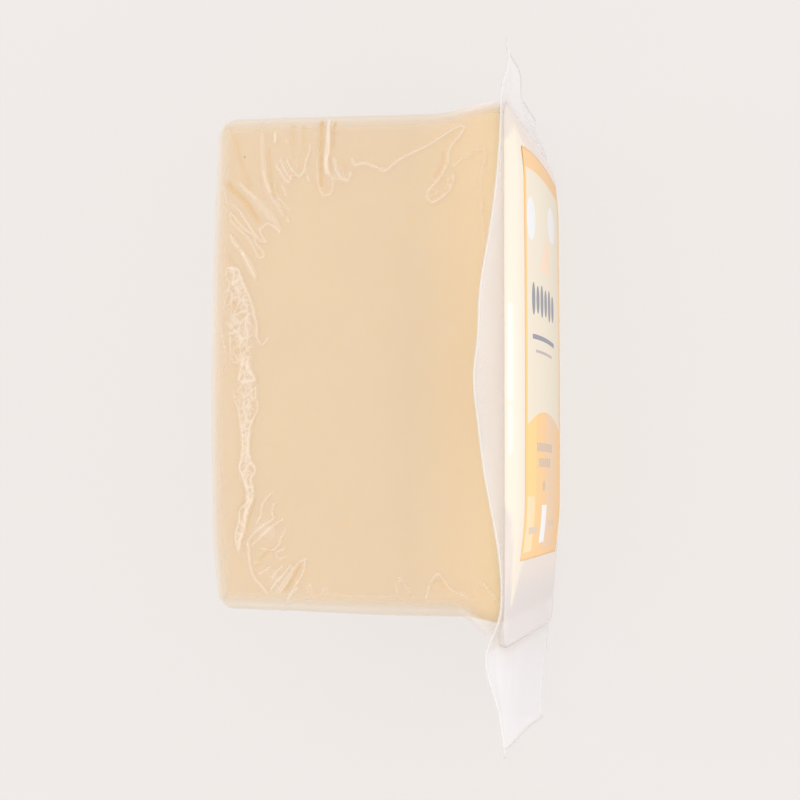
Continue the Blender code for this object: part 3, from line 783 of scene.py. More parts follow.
def cheese_material():
    """Pale ivory cheese, faintly mottled, with a few specks; painted light brightens and yellows it towards
    the front.
    """
    material, tree, surface = new_material(
        "cheese", Roughness=0.5, IOR=1.45, Subsurface_Weight=0.45, Subsurface_Radius=(1.0, 0.65, 0.35),
        Subsurface_Scale=0.006, Coat_Weight=0.2, Coat_Roughness=0.35)
    places, axes = object_places(tree)
    cloud = noise(tree, places, *MOTTLE)
    share = math_node(tree, "MULTIPLY_ADD", cloud, MOTTLE_GAIN, MOTTLE_OFFSET, clamp=True)
    front = math_node(tree, "SUBTRACT", axes["X"], CHEESE_FRONT_START)
    colour = mix_colours(tree, times(tree, share, MOTTLE_SHARE), CHEESE, CHEESE_WARM)
    # Painted light: the colour ramps to the brighter, yellower front
    colour = mix_colours(tree, times(tree, front, 1 / CHEESE_FRONT_LENGTH, clamp=True), colour, CHEESE_LIT_FRONT)
    for pixel, radius, shade, strength in SPECKS:
        distance = node(tree, "VectorMath", operation="DISTANCE")
        for socket, place in zip(distance.inputs, (places, (*side_point(*pixel), BLOCK_WIDTH))):
            feed(socket, place)
        ratio = math_node(tree, "DIVIDE", distance.outputs["Value"], radius)
        nearness = math_node(tree, "SUBTRACT", 1.0, ratio, clamp=True)
        colour = mix_colours(tree, times(tree, nearness, 2 * strength, clamp=True), colour, shade)
    set_values(surface, Base_Color=colour)
    add_bump(tree, surface, noise(tree, places, *CHEESE_GRAIN), *CHEESE_GRAIN_BUMP)
    return material


# Pale fold lines: partly the whitish haze of film lifted off the cheese, partly painted highlight along the
# ridges
FOLD_COLOUR = (0.95, 0.83, 0.69)
# Pale band along the block's edges: partly the stretched film's haze, partly painted edge reflection
RIM_HAZE_AND_SHEEN_COLOUR = (0.925, 0.85, 0.75)
LIFTED_COLOUR = (1.0, 0.945, 0.915)
FRONT_COLOUR = (0.900, 0.830, 0.715)
# Painted shade on the front film beyond the ivory field, darker and greyer towards its bottom end
SHADE_COLOUR = (0.800, 0.725, 0.675)
LOW_SHADE_COLOUR = (0.705, 0.665, 0.665)
STREAK_COLOUR = (1.0, 0.98, 0.95)
# Painted shade in the troughs beside the folds
TROUGH_SHADE_COLOUR = (0.86, 0.62, 0.33)
# How fast each zone of the film takes its colour, painted light and shade among them, and how much of the
# cheese it hides
COLOUR_GAINS = {"haze": 2.0, "lifted": 2.0, "front": 1.5, "warm": 3.0}
COVERS = {"pale": 0.95, "haze": 0.9, "warm": 0.6, "lifted": 0.5, "front": 1.0}
CLING_COVER = 0.02


def skin_material():
    """Clear film shrunk on the cheese: nearly unseen where it clings, pale where it is folded or lifted, with
    painted highlight on the folds, painted reflection at the edges and painted shade in the troughs and on
    the front.
    """
    material, tree, surface = new_material(
        "clear_film_skin", Roughness=0.40, IOR=1.5, Specular_IOR_Level=0.25)
    zones = {name: attribute(tree, name) for name in COVERS}
    # Painted shade for the front film, deepening towards its bottom end
    shade = mix_colours(tree, attribute(tree, "dusk"), SHADE_COLOUR, LOW_SHADE_COLOUR)
    # The front film's milky colour, with painted shade and painted streaks of reflection mixed in
    milky = mix_colours(tree, attribute(tree, "shade"), FRONT_COLOUR, shade)
    milky = mix_colours(tree, attribute(tree, "streak"), milky, STREAK_COLOUR)
    zone_colours = {"haze": RIM_HAZE_AND_SHEEN_COLOUR, "lifted": LIFTED_COLOUR, "front": milky, "warm": TROUGH_SHADE_COLOUR}
    colour = FOLD_COLOUR
    for name, gain in COLOUR_GAINS.items():
        share = times(tree, zones[name], gain, clamp=True)
        colour = mix_colours(tree, share, colour, zone_colours[name])
    cover = 0.0
    for name, share in COVERS.items():
        cover = math_node(tree, "MAXIMUM", cover, times(tree, zones[name], share))
    alpha = math_node(tree, "ADD", cover, CLING_COVER, clamp=True)
    set_values(surface, Base_Color=colour, Alpha=alpha)
    return material


SHEET_COLOUR = (0.84, 0.84, 0.865)
# Painted shade on the sheet at its root beside the block
SHEET_ROOT_SHADE_COLOUR = (0.75, 0.69, 0.66)
SHEET_EDGE_COLOUR = (0.82, 0.79, 0.775)
SHEET_COVER = 0.50
SHEET_EDGE_COVER = 0.65
WELD_PITCH = 0.0008
WELD_BUMP = (0.25, 0.0002)


def flange_material():
    """The two welded films: clear but milky, with a whiter cut edge, painted shade at the root beside the
    block and a fine pattern at the weld.
    """
    material, tree, surface = new_material("clear_film_flange", Roughness=0.25, IOR=1.5)
    edge = attribute(tree, "edge")
    axes = object_places(tree)[1]
    base = mix_colours(tree, attribute(tree, "root"), SHEET_COLOUR, SHEET_ROOT_SHADE_COLOUR)
    alpha = math_node(tree, "MAXIMUM", times(tree, edge, SHEET_EDGE_COVER), SHEET_COVER, clamp=True)
    set_values(surface, Base_Color=mix_colours(tree, edge, base, SHEET_EDGE_COLOUR), Alpha=alpha)
    pattern = 0.0
    for sign in (1.0, -1.0):
        slanted = math_node(tree, "ADD", axes["Y"], times(tree, axes["Z"], sign))
        wave = math_node(tree, "SINE", times(tree, slanted, 2 * math.pi / WELD_PITCH))
        pattern = math_node(tree, "ADD", wave, pattern)
    add_bump(tree, surface, times(tree, pattern, attribute(tree, "knurl")), *WELD_BUMP)
    return material


# The label's fields, as places on it in metres: u runs from its upper long edge, v up from its bottom edge
LABEL_BORDER = 0.0024
LABEL_TOP_BAND = 0.0042
LABEL_BOTTOM_BAND = 0.0016
DOME_HEIGHT = 0.0305
DOME_RISE = 0.0036
FIELD_NEAR_END = 0.0130
FIELD_DULL_U = (0.0270, 0.0420)
CREAM = (0.790, 0.710, 0.560)
ORANGE = (0.930, 0.53, 0.15)
BAND = (0.860, 0.500, 0.165)
FIELD = (0.900, 0.530, 0.170)
FIELD_NEAR = (0.940, 0.590, 0.150)
FIELD_DULL = (0.820, 0.540, 0.290)
FAR_SHADE = (0.80, 0.77, 0.76)
FAR_POWER = 1.5
PALE_BLUE = (0.80, 0.83, 0.88)
PEACH = (0.93, 0.66, 0.45)
PANEL = (0.95, 0.74, 0.52)
PLATE = (0.86, 0.87, 0.90)
NAVY = (0.16, 0.18, 0.24)
GREY_INK = (0.42, 0.38, 0.36)
BROWN_INK = (0.70, 0.52, 0.36)
# Ovals: middle u, middle v, half sizes. Blocks: from u to u, from v to v
CLOUDS = ((0.008, 0.0700, 0.0055, 0.0045), (0.038, 0.0720, 0.0060, 0.0040))
CLOUD_STRENGTH = 0.85
WEDGE_BLOCK = (0.0180, 0.0330, 0.0600, 0.0690)
WEDGE_SLOPE = 0.62
WEDGE_STRENGTH = 0.8
MARK_COUNT = 6
MARK_FIRST_U = 0.0100
MARK_PITCH = 0.0056
MARK_V = 0.0535
MARK_HALF_WIDTH = 0.0021
MARK_HALF_HEIGHTS = (0.0034, 0.0029)
BARS = (((0.0085, 0.0400, 0.0452, 0.0462), NAVY), ((0.0125, 0.0360, 0.0425, 0.0431), GREY_INK))
PANEL_SIZES = (0.0115, 0.0130)
PANEL_STRENGTH = 0.55
DASHED_BARS = ((0.0140, 0.0360, 0.0222, 0.0240), (0.0165, 0.0335, 0.0190, 0.0208))
DASH_TURNS = 2200.0
DASH_LIMIT = -0.7
DASH_STRENGTH = 0.8
SPOT = (0.0240, 0.0150, 0.0018, 0.0011)
SPOT_STRENGTH = 0.7
PLATES = (((0.0215, 0.0285, 0.0030, 0.0110), PLATE), ((0.0060, 0.0170, 0.0052, 0.0066), BROWN_INK),
          ((0.0320, 0.0420, 0.0062, 0.0076), BROWN_INK))
PAPER_GRAIN = (900.0, 2.0)
PAPER_BUMP = (0.05, 0.0001)


def label_material():
    """Print in plain fields: a border, a top band, a domed field, and rows of simple marks, with painted
    shade towards its lower long edge.
    """
    material, tree, surface = new_material(
        "label_print", Roughness=0.38, Coat_Weight=0.25, Coat_Roughness=0.2)
    places, axes = object_places(tree)
    v = attribute(tree, "height")
    u = math_node(tree, "SUBTRACT", LABEL_CENTRE_Z + LABEL_WIDTH / 2, axes["Z"])
    colour = CREAM

    def above(value, limit):
        return math_node(tree, "GREATER_THAN", value, limit)

    def below(value, limit):
        return math_node(tree, "LESS_THAN", value, limit)

    def both(first, second):
        return times(tree, first, second)

    def either(first, second):
        return math_node(tree, "MAXIMUM", first, second)

    def between(value, start, end):
        return both(above(value, start), below(value, end))

    def block(u0, u1, v0, v1):
        return both(between(u, u0, u1), between(v, v0, v1))

    def square(value, middle, half=1.0):
        ratio = math_node(tree, "DIVIDE", math_node(tree, "SUBTRACT", value, middle), half)
        return both(ratio, ratio)

    def oval(u0, v0, half_u, half_v):
        return below(math_node(tree, "ADD", square(u, u0, half_u), square(v, v0, half_v)), 1.0)

    def paint(area, shade, strength=1.0):
        nonlocal colour
        colour = mix_colours(tree, both(area, strength), colour, shade)

    for place in CLOUDS:
        paint(oval(*place), PALE_BLUE, CLOUD_STRENGTH)
    slope = times(tree, math_node(tree, "SUBTRACT", u, WEDGE_BLOCK[0]), WEDGE_SLOPE)
    wedge = below(v, math_node(tree, "ADD", WEDGE_BLOCK[2], slope))
    paint(both(block(*WEDGE_BLOCK), wedge), PEACH, WEDGE_STRENGTH)
    for k in range(MARK_COUNT):
        paint(oval(MARK_FIRST_U + MARK_PITCH * k, MARK_V, MARK_HALF_WIDTH, MARK_HALF_HEIGHTS[k % 2]), NAVY)
    for place, shade in BARS:
        paint(block(*place), shade)

    fall = times(tree, square(u, LABEL_WIDTH / 2), DOME_RISE / (LABEL_WIDTH / 2) ** 2)
    field = below(v, math_node(tree, "SUBTRACT", DOME_HEIGHT, fall))
    paint(field, FIELD)
    paint(both(field, below(u, FIELD_NEAR_END)), FIELD_NEAR)
    paint(both(field, between(u, *FIELD_DULL_U)), FIELD_DULL)
    paint(both(below(u, PANEL_SIZES[0]), below(v, PANEL_SIZES[1])), PANEL, PANEL_STRENGTH)
    gaps = above(math_node(tree, "SINE", times(tree, u, DASH_TURNS)), DASH_LIMIT)
    for place in DASHED_BARS:
        paint(both(block(*place), gaps), GREY_INK, DASH_STRENGTH)
    paint(oval(*SPOT), GREY_INK, SPOT_STRENGTH)
    for place, shade in PLATES:
        paint(block(*place), shade)

    border = either(below(u, LABEL_BORDER), above(u, LABEL_WIDTH - LABEL_BORDER))
    paint(either(border, below(v, LABEL_BOTTOM_BAND)), ORANGE)
    paint(above(v, LABEL_LENGTH - LABEL_TOP_BAND), BAND)
    # Painted shade: the print darker towards its lower long edge
    far = math_node(tree, "POWER", math_node(tree, "DIVIDE", u, LABEL_WIDTH, clamp=True), FAR_POWER)
    colour = mix_colours(tree, far, colour, FAR_SHADE, blend_type="MULTIPLY")
    set_values(surface, Base_Color=colour)
    add_bump(tree, surface, noise(tree, places, *PAPER_GRAIN), *PAPER_BUMP)
    return material


# Pieces

ON_FLOOR = 1e-6
CHEESE_EDGE = 0.0050
CHEESE_EDGE_STEP = 0.0004
CHEESE_STEP = 0.0014
# The cheese's share of the film's lift at the top end, the bottom end and the upper side
CHEESE_LIFT = (0.85, 0.22, 0.9)
CHEESE_UNEVEN = 0.00005


def make_cheese(material):
    """The cheese inside the film, slightly uneven, with only a share of the film's lift at its ends."""
    lines = []
    for half in (HALF_DEPTH, HALF_LENGTH, HALF_WIDTH):
        inner = half - CHEESE_EDGE
        stretches = ((-inner, CHEESE_EDGE_STEP), (inner, CHEESE_STEP), (half, CHEESE_EDGE_STEP))
        lines.append(spaced(-half, *stretches))
    box, faces = box_grid(lines)
    points, normal = block_surface(box, CHEESE_LIFT)
    x, y, z = box.T * 1000
    uneven = 0.5 * np.sin(x / 13 + 1) * np.sin(y / 17) + 0.5 * np.sin(x / 21 + y / 29 + z / 19)
    points = points - normal * (CHEESE_INSET + CHEESE_UNEVEN * (1 + uneven))[:, None]
    return make_mesh_object("cheese", points, faces, [material])


# The film's grid: its first line, then where each stretch ends and its step
SKIN_LINES = (
    (-HALF_DEPTH, (-0.018, 0.00027), (-0.004, 0.00036), (0.020, 0.00055), (HALF_DEPTH, 0.00060)),
    (-HALF_LENGTH, (-0.038, 0.00029), (0.010, 0.00038), (HALF_LENGTH, 0.00032)),
    (-HALF_WIDTH, (0.022, 0.0040), (HALF_WIDTH, 0.0013)),
)
RIM_HAZE_AND_SHEEN = 0.75
RIM_REACH = 0.0028
RIM_WIDE_REACH = 0.0062
RIM_WIDE_SHARE = 0.22
RIM_WHOLE = 0.0034
RIM_FADE = 0.0045
TENT_HAZE = 0.24
TENT_REACH = 0.0065
TOP_LIFT_SHARE = 0.6
LIFT_EDGE = 0.004
HAZE_FRONT_FADE = 0.001
FRONT_HAZE = 0.86
MILKY_START = 0.0003
MILKY_RAMP = 0.0007
# Painted shade deepening towards the front film's bottom end
LOW_SHADE_START = -0.0405
LOW_SHADE_LENGTH = 0.0100

# Borders of the ivory field on the front film, beyond which the film has painted shade, as places along Y and
# Z, and how softly each ends
IVORY_LIMIT_Z = (0.0, 0.058, 0.0655, 0.0700)
IVORY_LIMIT_Y = (0.0446, 0.0452, 0.0475, 0.0430)
IVORY_TAPER_Y = (-0.0490, -0.0393, -0.0375)
IVORY_TAPER_Z = (0.067, 0.057, 0.0)
IVORY_STRIP_LOW = -0.0478
IVORY_EDGE_Y = (-0.048, -0.032, -0.024)
IVORY_EDGE_Z = (0.0663, 0.0683, 0.0715)
IVORY_RAMPS = (0.0014, 0.003, 0.002, 0.0010)

# Bright reflections along the front film: middle along Y, half length, place along Z, half width
STREAKS = ((0.0014, 0.0097, 0.0690, 0.00045), (-0.0139, 0.0047, 0.0690, 0.00035))
STREAK_END = 0.0015

# Bright reflection on the back edge: strength, place along Y, drop below the upper side, half sizes
GLINT = 0.7
GLINT_MIDDLE = 0.0087
GLINT_HALF_LENGTH = 0.0055
GLINT_DROP = 0.0013
GLINT_HALF_WIDTH = 0.0006


def rim_haze_and_sheen(distance):
    """Haze of the stretched film with painted edge reflection, at a distance from the block's edge: a narrow
    band and a wide faint one.
    """
    narrow = bell(distance, RIM_REACH)
    return RIM_HAZE_AND_SHEEN * (narrow + RIM_WIDE_SHARE * (bell(distance, RIM_WIDE_REACH) - narrow))


def film_haze_and_rim_sheen(in_x, in_y, in_z, tent):
    """Haze at places so far inside the block's faces, with painted reflection near the edges, and the haze of
    the film's lift at the top end.
    """
    past = np.maximum(in_z - RIM_WHOLE, 0.0)
    haze = rim_haze_and_sheen(np.minimum(in_x, in_y)) * bell(past, RIM_FADE)
    return np.maximum(np.maximum(haze, rim_haze_and_sheen(np.maximum(in_x, in_y))), tent)


def front_shade(y, z):
    """Where the front film has painted shade, outside the brighter ivory field."""
    beyond = (y - np.interp(z, IVORY_LIMIT_Z, IVORY_LIMIT_Y), np.interp(y, IVORY_TAPER_Y, IVORY_TAPER_Z) - z,
              IVORY_STRIP_LOW - y, z - np.interp(y, IVORY_EDGE_Y, IVORY_EDGE_Z))
    return np.max([smooth(depth / ramp) for depth, ramp in zip(beyond, IVORY_RAMPS)], axis=0)


def front_streaks(y, z):
    """The bright reflections along the front film."""
    streaks = np.zeros(len(y))
    for middle, half_length, place, half_width in STREAKS:
        along = np.clip((np.abs(y - middle) - half_length) / STREAK_END + 1.0, 0.0, None)
        streaks = np.maximum(streaks, np.exp(-along ** 4) * bell(z - place, half_width))
    return streaks


def make_skin(material):
    """The clear film round the cheese, closed, with its folds and its lift towards the flange."""
    box, faces = box_grid([spaced(*lines) for lines in SKIN_LINES])
    points, normal = block_surface(box, (1.0, 1.0, 1.0))
    x, y, z = box.T
    off_floor = z > HAIR - HALF_WIDTH
    below = HALF_WIDTH - z
    flat = points[:, :2].copy()
    flat[:, 0] -= below * (x <= HAIR - HALF_DEPTH)
    flat[:, 1] += np.sign(y) * below * (np.abs(y) >= HALF_LENGTH - HAIR)
    folded = off_floor & (x < HALF_DEPTH - HAIR)
    height, pale, warm = (values * folded for values in film_folds(flat))
    other_height, other_pale = other_side_folds(box)
    height = np.maximum(height, other_height)
    points = points + normal * (height + FILM_CLEARANCE * off_floor)[:, None]
    points[:, 2] = np.maximum(points[:, 2], 0.0)
    skin = make_mesh_object("film_skin", points, faces, [material])

    top_lift = flare(x, TOP_FLARE_REACH, TOP_FLARE_FLAT)
    ends = smooth((np.abs(y) - HALF_LENGTH + LIFT_EDGE) / LIFT_EDGE)
    lifted = ends * np.where(y > 0, TOP_LIFT_SHARE * top_lift, flare(x, BOTTOM_FLARE_REACH))
    in_x, in_y, in_z = HALF_DEPTH + x, HALF_LENGTH - np.abs(y), HALF_WIDTH - np.abs(z)
    tent = TENT_HAZE * top_lift * bell(HALF_LENGTH - y, TENT_REACH)
    # Haze of the stretched and lifted film, with painted reflection along the block's edges
    haze = film_haze_and_rim_sheen(in_x, in_y, in_z, tent) * smooth((HALF_DEPTH - x) / HAZE_FRONT_FADE)
    glint = bell(below - GLINT_DROP, GLINT_HALF_WIDTH) * (np.minimum(in_x, in_y) <= 0.0) * (x < 0)
    glint *= np.exp(-((y - GLINT_MIDDLE) / GLINT_HALF_LENGTH) ** 4)
    # The milky front film, where its painted shade and painted streaks show; the painted glint on the back
    # edge shows through the same zone
    milky = FRONT_HAZE * smooth((x - FLANGE_X + MILKY_START) / MILKY_RAMP)
    set_attributes(
        skin, pale=np.maximum(pale, other_pale), warm=warm, lifted=lifted,
        haze=haze * np.where(y > 0, 1.0, 1.0 - lifted), front=np.maximum(milky, GLINT * glint),
        shade=front_shade(*points[:, 1:].T), dusk=smooth((LOW_SHADE_START - points[:, 1]) / LOW_SHADE_LENGTH),
        streak=np.maximum(glint, front_streaks(*points[:, 1:].T)))
    join_flat_faces(skin)
    return skin


def join_flat_faces(thing):
    """Joins the faces that lie flat on the floor into one."""
    mesh = bmesh.new()
    mesh.from_mesh(thing.data)
    flat = [face for face in mesh.faces if all(corner.co.z < ON_FLOOR for corner in face.verts)]
    bmesh.ops.dissolve_faces(mesh, faces=flat)
    mesh.to_mesh(thing.data)
    mesh.free()
    thing.data.update()


def flange_depth(y, s, hole_low, hole_high):
    """Place along X of the flange's middle surface, for the flat-sheet coordinates y and s."""
    x = FLANGE_X - DOWN_SETBACK * smooth(1.0 - s / BLOCK_WIDTH)
    across = np.clip(s / BLOCK_WIDTH, 0.0, 1.0)

    offset = y - MARGIN_LEAN_CENTRE
    offset = offset / np.where(offset > 0, MARGIN_LEAN_REACH_TOP, MARGIN_LEAN_REACH_BOTTOM)
    lean = MARGIN_LEAN * np.cos(np.minimum(1.0, np.abs(offset)) * math.pi / 2) ** 2
    x = x + smooth((s - BLOCK_WIDTH) / FLANGE_MARGIN) * (MARGIN_FORWARD + lean)

    beyond_top = smooth((y - hole_high) / (TOP_FLAP_END_UP - hole_high))
    turn = smooth((across - FLAP_TURN_START) / FLAP_TURN_LENGTH)
    x = x + beyond_top * (FLAP_LEAN_UP * turn + FLAP_LEAN_DOWN * beyond_top * (1.0 - turn))

    beyond_bottom = smooth((hole_low - y) / (hole_low - TAIL_END_UP))
    share = np.maximum(0.0, s / (BLOCK_WIDTH + FLANGE_MARGIN)) ** 2
    x = x + beyond_bottom * (TAIL_LEAN_DOWN + (TAIL_LEAN_UP - TAIL_LEAN_DOWN) * share)
    upper_side = smooth((s - BLOCK_WIDTH + FLANGE_MARGIN) / (2 * FLANGE_MARGIN))
    x = x + FLAP_WAVE * upper_side * bell(y - FLAP_WAVE_PLACE, FLAP_WAVE_REACH)
    from_wave = y - TAIL_WAVE_PLACE
    reach = np.where(from_wave > 0, TAIL_WAVE_REACH_TOP, TAIL_WAVE_REACH_BOTTOM)
    return x + TAIL_WAVE * upper_side * bell(from_wave, reach)


def fold_under(x, y, s):
    """Bends the sheet back along the surface that the pack lies on."""
    level = FLANGE_THICKNESS / 2
    s = s - level
    flat_start = FOLD_RADIUS * (1.0 - math.pi / 2)
    angle = np.clip((FOLD_RADIUS - s) / FOLD_RADIUS, 0.0, math.pi / 2)
    z = np.where(s >= FOLD_RADIUS, s, FOLD_RADIUS * (1.0 - np.sin(angle))) + level
    back = np.where(s >= FOLD_RADIUS, 0.0, FOLD_RADIUS * (1.0 - np.cos(angle)))
    back = back + np.maximum(0.0, flat_start - s)
    return np.stack((x - back, y, z), axis=-1)


def round_hole_corner(y, s, corner_y, corner_s, radius):
    """Rounds one corner of the square hole, by turning its square rings into round ones."""
    side_y = 1.0 if corner_y > 0 else -1.0
    side_s = 1.0 if corner_s > HALF_WIDTH else -1.0
    along = (y - corner_y) * side_y + radius
    across = (s - corner_s) * side_s + radius
    ring = np.maximum(along, across)
    inside = (along > 0.0) & (across > 0.0)
    rounding = ring / np.maximum(np.hypot(along, across), HAIR)
    fade = np.clip((ring - radius) / (CORNER_FADE * radius), 0.0, 1.0)
    factor = np.where(inside, rounding + (1.0 - rounding) * fade, 1.0)
    new_y = corner_y + (along * factor - radius) * side_y
    new_s = corner_s + (across * factor - radius) * side_s
    return np.where(inside, new_y, y), np.where(inside, new_s, s)


def edge_inset(x):
    """How far the front edge's arc lies inside the plain faces at the place x."""
    along = x - (HALF_DEPTH - FRONT_EDGE_RADIUS)
    return FRONT_EDGE_RADIUS - math.sqrt(FRONT_EDGE_RADIUS ** 2 - along ** 2)


# Steps of the sheet's grid: at the ends, beside the hole's corners, along the block, under the pack,
# at the bend, above the bend and up the block
END_STEP = 0.0007
CORNER_STEP = 0.0005
LENGTH_STEP = 0.0009
UNDER_STEP = 0.0012
BEND_STEP = 0.0003
LOW_STEP = 0.0006
RISE_STEP = 0.0010
TUCK = 0.0006
SHEET_LIFT = 0.00002

# Ripples of the sheet, each a height and a bent wave: along the margin, and across the flap and the tail
MARGIN_RIPPLE = 0.00022
MARGIN_WAVE = (0.0046, 2.0, 0.013)
MARGIN_RIPPLE_START = 0.004
END_RIPPLE = 0.00012
END_WAVE = (0.0085, 1.5, 0.014)
END_RIPPLE_START = 0.006

# Zones of the sheet: the cut edge, the crease at the bend, the painted shade at the root beside the block,
# the weld's pattern
EDGE_HALF_WIDTH = 0.00022
END_EDGE_SHARE = 0.45
CREASE_STRENGTH = 0.9
CREASE_PLACE = 0.0020
CREASE_HALF_WIDTH = 0.0008
CREASE_START = 0.004
ROOT_REACH = 0.0085
ROOT_REACH_TAIL = 0.0038
ROOT_END_FADE = 0.6
ROOT_END_START = 0.002
WELD_INNER = 0.0042
WELD_INNER_RAMP = 0.0010
WELD_OUTER = 0.0090
WELD_OUTER_RAMP = 0.0006
WELD_MIDDLE = -0.0088
WELD_HALF_LENGTH = 0.0115
WELD_END_RAMP = 0.005


def make_flange(material):
    """The welded margin with its top flap and its tail, a thin closed sheet with fine waves."""
    inset = edge_inset(FLANGE_X)
    end_space = GAP + HOLE_SLACK - edge_inset(FLANGE_X - DOWN_SETBACK / 2) - TUCK
    hole_high = HALF_LENGTH + float(top_shift(FLANGE_X)) + end_space
    hole_low = -(HALF_LENGTH + float(bottom_shift(FLANGE_X)) + end_space)
    hole_top = BLOCK_WIDTH + SIDE_FLARE - inset + GAP + HOLE_SLACK - TUCK
    hole_bottom = FLANGE_THICKNESS / 2
    corner = FRONT_EDGE_RADIUS - inset
    sheet_top = BLOCK_WIDTH + FLANGE_MARGIN
    arc_end = FOLD_RADIUS * (1.0 - math.pi / 2) + FLANGE_THICKNESS / 2
    y_lines = spaced(TAIL_END_UP, (hole_low, END_STEP), (hole_low + corner, CORNER_STEP),
                     (hole_high - corner, LENGTH_STEP), (hole_high, CORNER_STEP), (TOP_FLAP_END_UP, END_STEP))
    s_lines = spaced(-FLANGE_MARGIN, (arc_end, UNDER_STEP), (hole_bottom, BEND_STEP),
                     (FOLD_RADIUS, BEND_STEP), (hole_bottom + corner, LOW_STEP),
                     (hole_top - corner, RISE_STEP), (hole_top, CORNER_STEP), (sheet_top, CORNER_STEP))
    y, s = np.meshgrid(y_lines, s_lines, indexing="ij")
    flat_y, flat_s = y, s
    for corner_y, corner_s in itertools.product((hole_low, hole_high), (hole_bottom, hole_top)):
        flat_y, flat_s = round_hole_corner(flat_y, flat_s, corner_y, corner_s, corner)
    down = np.clip(1.0 - s / BLOCK_WIDTH, 0.0, 1.0)
    in_tail = np.maximum(0.0, (hole_low - y) / (hole_low - TAIL_END_UP))
    in_flap = np.maximum(0.0, (y - hole_high) / (TOP_FLAP_END_UP - hole_high))
    flat_y = flat_y + down * (TAIL_END_DOWN - TAIL_END_UP) * in_tail
    flat_y = flat_y + down * (TOP_FLAP_END_DOWN - TOP_FLAP_END_UP) * in_flap
    beyond = np.maximum(y - hole_high, hole_low - y)
    in_margin = smooth((s - hole_top) / MARGIN_RIPPLE_START)
    in_ends = smooth(beyond / END_RIPPLE_START) * smooth(s / END_RIPPLE_START)
    ripple = MARGIN_RIPPLE * bent_wave(flat_y, flat_y, MARGIN_WAVE) * in_margin
    ripple += END_RIPPLE * bent_wave(flat_s, flat_y, END_WAVE) * in_ends
    points = fold_under(flange_depth(flat_y, flat_s, hole_low, hole_high) + ripple, flat_y, flat_s)
    points[..., 2] += SHEET_LIFT

    middle_y = (y_lines[:-1] + y_lines[1:]) / 2
    middle_s = (s_lines[:-1] + s_lines[1:]) / 2
    open_cell = ((middle_y > hole_low) & (middle_y < hole_high))[:, None]
    open_cell = open_cell & ((middle_s > hole_bottom) & (middle_s < hole_top))[None, :]
    used, faces = np.unique(grid_faces(y.shape)[~open_cell], return_inverse=True)
    flange = make_mesh_object("film_margin", points.reshape(-1, 3)[used], faces.reshape(-1, 4), [material])

    to_edge = np.minimum(np.minimum(TOP_FLAP_END_UP - y, y - TAIL_END_UP) * END_EDGE_SHARE,
                         np.minimum(sheet_top - s, s + FLANGE_MARGIN))
    out_y = np.maximum(beyond, 0.0)
    crease = CREASE_STRENGTH * bell(s - CREASE_PLACE, CREASE_HALF_WIDTH) * smooth(out_y / CREASE_START)
    from_hole = np.hypot(out_y, np.maximum(np.maximum(s - hole_top, hole_bottom - s), 0.0))
    # Painted shade at the root beside the block, narrower on the tail and weaker beyond the hole's ends
    root = bell(from_hole, np.where(y < hole_low, ROOT_REACH_TAIL, ROOT_REACH))
    root *= 1.0 - ROOT_END_FADE * smooth(out_y / ROOT_END_START)
    knurl = (s > hole_top) * smooth((from_hole - WELD_INNER) / WELD_INNER_RAMP)
    knurl *= smooth((WELD_OUTER - from_hole) / WELD_OUTER_RAMP)
    knurl *= smooth((WELD_HALF_LENGTH - np.abs(y - WELD_MIDDLE)) / WELD_END_RAMP)
    zones = {"edge": np.maximum(bell(to_edge, EDGE_HALF_WIDTH), crease), "root": root, "knurl": knurl}
    set_attributes(flange, **{name: zone.ravel()[used] for name, zone in zones.items()})
    thicken(flange, FLANGE_THICKNESS)
    return flange


def thicken(sheet, thickness):
    """Gives a sheet its thickness, half to each side, and applies it."""
    solid = sheet.modifiers.new("thickness", "SOLIDIFY")
    solid.thickness = thickness
    solid.offset = 0.0
    solid.use_even_offset = True
    evaluated = sheet.evaluated_get(bpy.context.evaluated_depsgraph_get())
    mesh = bpy.data.meshes.new_from_object(evaluated)
    sheet.modifiers.clear()
    sheet.data = mesh


LABEL_ROWS = 110
LABEL_COLUMNS = 64


def make_label(material):
    """The printed label, a thin panel with a bowed top edge that follows the front face."""
    v, u = np.meshgrid(np.linspace(-0.5, 0.5, LABEL_ROWS + 1), np.linspace(-0.5, 0.5, LABEL_COLUMNS + 1),
                       indexing="ij")
    z = LABEL_CENTRE_Z + u * LABEL_WIDTH
    bow = LABEL_BOW * (1.0 - ((z - LABEL_BOW_Z) / LABEL_BOW_REACH) ** 2)
    y = LABEL_CENTRE_Y + v * LABEL_LENGTH + bow * smooth(v + 0.5)
    x = HALF_DEPTH + front_crown(y, z - HALF_WIDTH) - front_taper(y) + LABEL_LIFT
    points = np.stack((x, y, z), axis=-1).reshape(-1, 3)
    label = make_mesh_object("printed_label", points, grid_faces(v.shape).reshape(-1, 4), [material])
    set_attributes(label, height=((v + 0.5) * LABEL_LENGTH).ravel())
    thicken(label, PRINT_THICKNESS)
    return label


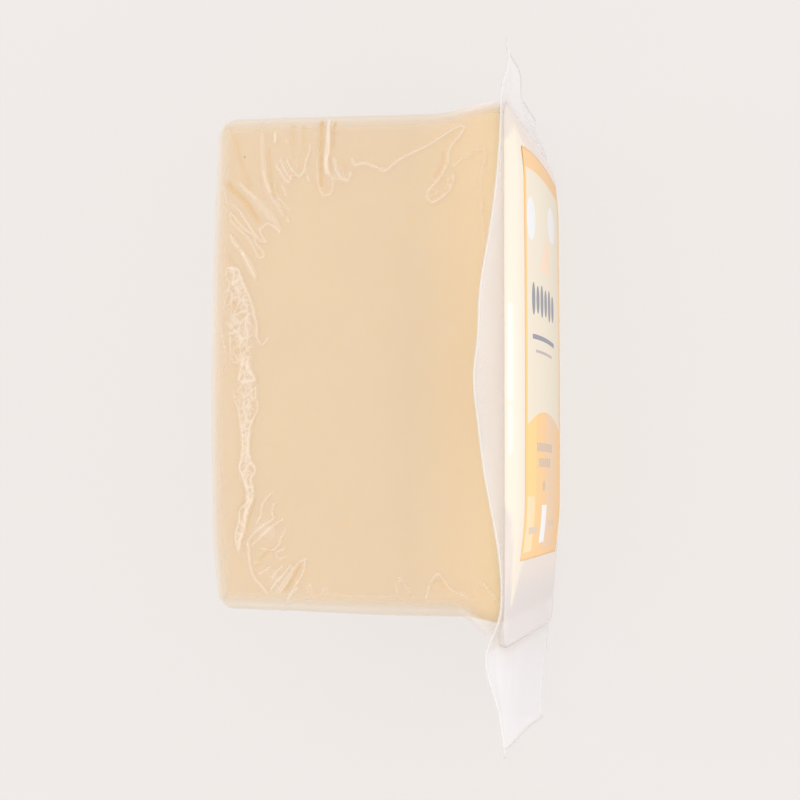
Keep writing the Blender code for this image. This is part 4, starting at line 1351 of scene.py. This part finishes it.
# The stage
FLOOR_HALF_SIZE = 3.0
FLOOR_COLOUR = (0.871, 0.831, 0.807)
FLOOR_ALBEDO = 0.15
FLOOR_GLOW = 0.83
WORLD_COLOUR = (1.0, 0.985, 0.97)
WORLD_STRENGTH = 0.92
# Lights: name, place, what it is aimed at, sizes, power
LIGHTS = (
    ("right", (0.50, -0.05, 0.12), (0.02, 0.0, 0.035), (0.30, 0.60), 1.3),
    ("left", (-0.45, 0.05, 0.25), (-0.03, 0.0, 0.035), (0.12, 0.50), 0.5),
    ("upper", (0.05, 0.55, 0.35), (0.0, 0.03, 0.035), (0.60, 0.20), 0.5),
    ("lower", (0.0, -0.55, 0.35), (0.0, -0.03, 0.035), (0.60, 0.20), 0.4),
)


def make_stage():
    """A plain pale floor and plain soft light."""
    corners = [(x, y, 0.0) for x in (-1, 1) for y in (-1, 1)]
    material = new_material(
        "floor", Base_Color=[c * FLOOR_ALBEDO for c in FLOOR_COLOUR], Roughness=1.0,
        Specular_IOR_Level=0.0, Emission_Color=FLOOR_COLOUR, Emission_Strength=FLOOR_GLOW)[0]
    points = np.array(corners) * FLOOR_HALF_SIZE
    faces = grid_faces((2, 2)).reshape(-1, 4)
    floor = make_mesh_object("floor", points, faces, [material], smooth_shade=False)

    world = bpy.data.worlds.new("studio")
    bpy.context.scene.world = world
    world.use_nodes = True
    set_values(world.node_tree.nodes["Background"], Color=WORLD_COLOUR, Strength=WORLD_STRENGTH)
    for light in LIGHTS:
        add_area(*light)
    bpy.context.scene.view_settings.view_transform = "Standard"


def add_area(name, place, aim, size, power):
    """A soft rectangular light."""
    data = bpy.data.lights.new(name, "AREA")
    data.shape = "RECTANGLE"
    data.size, data.size_y = size
    data.energy = power
    light = add_object(name, data)
    light.location = place
    light.rotation_mode = "QUATERNION"
    light.rotation_quaternion = (Vector(aim) - Vector(place)).to_track_quat("-Z", "Y")


make_camera()
make_stage()
cheese = make_cheese(cheese_material())
skin = make_skin(skin_material())
margin = make_flange(flange_material())
label = make_label(label_material())
for piece, slot in ((cheese, "cheese"), (skin, "clear_film"), (margin, "clear_film"), (label, "label")):
    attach(piece, "root")
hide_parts("cheese_block")
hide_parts("cheese_block")
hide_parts("film_flange")
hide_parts("label_panel")
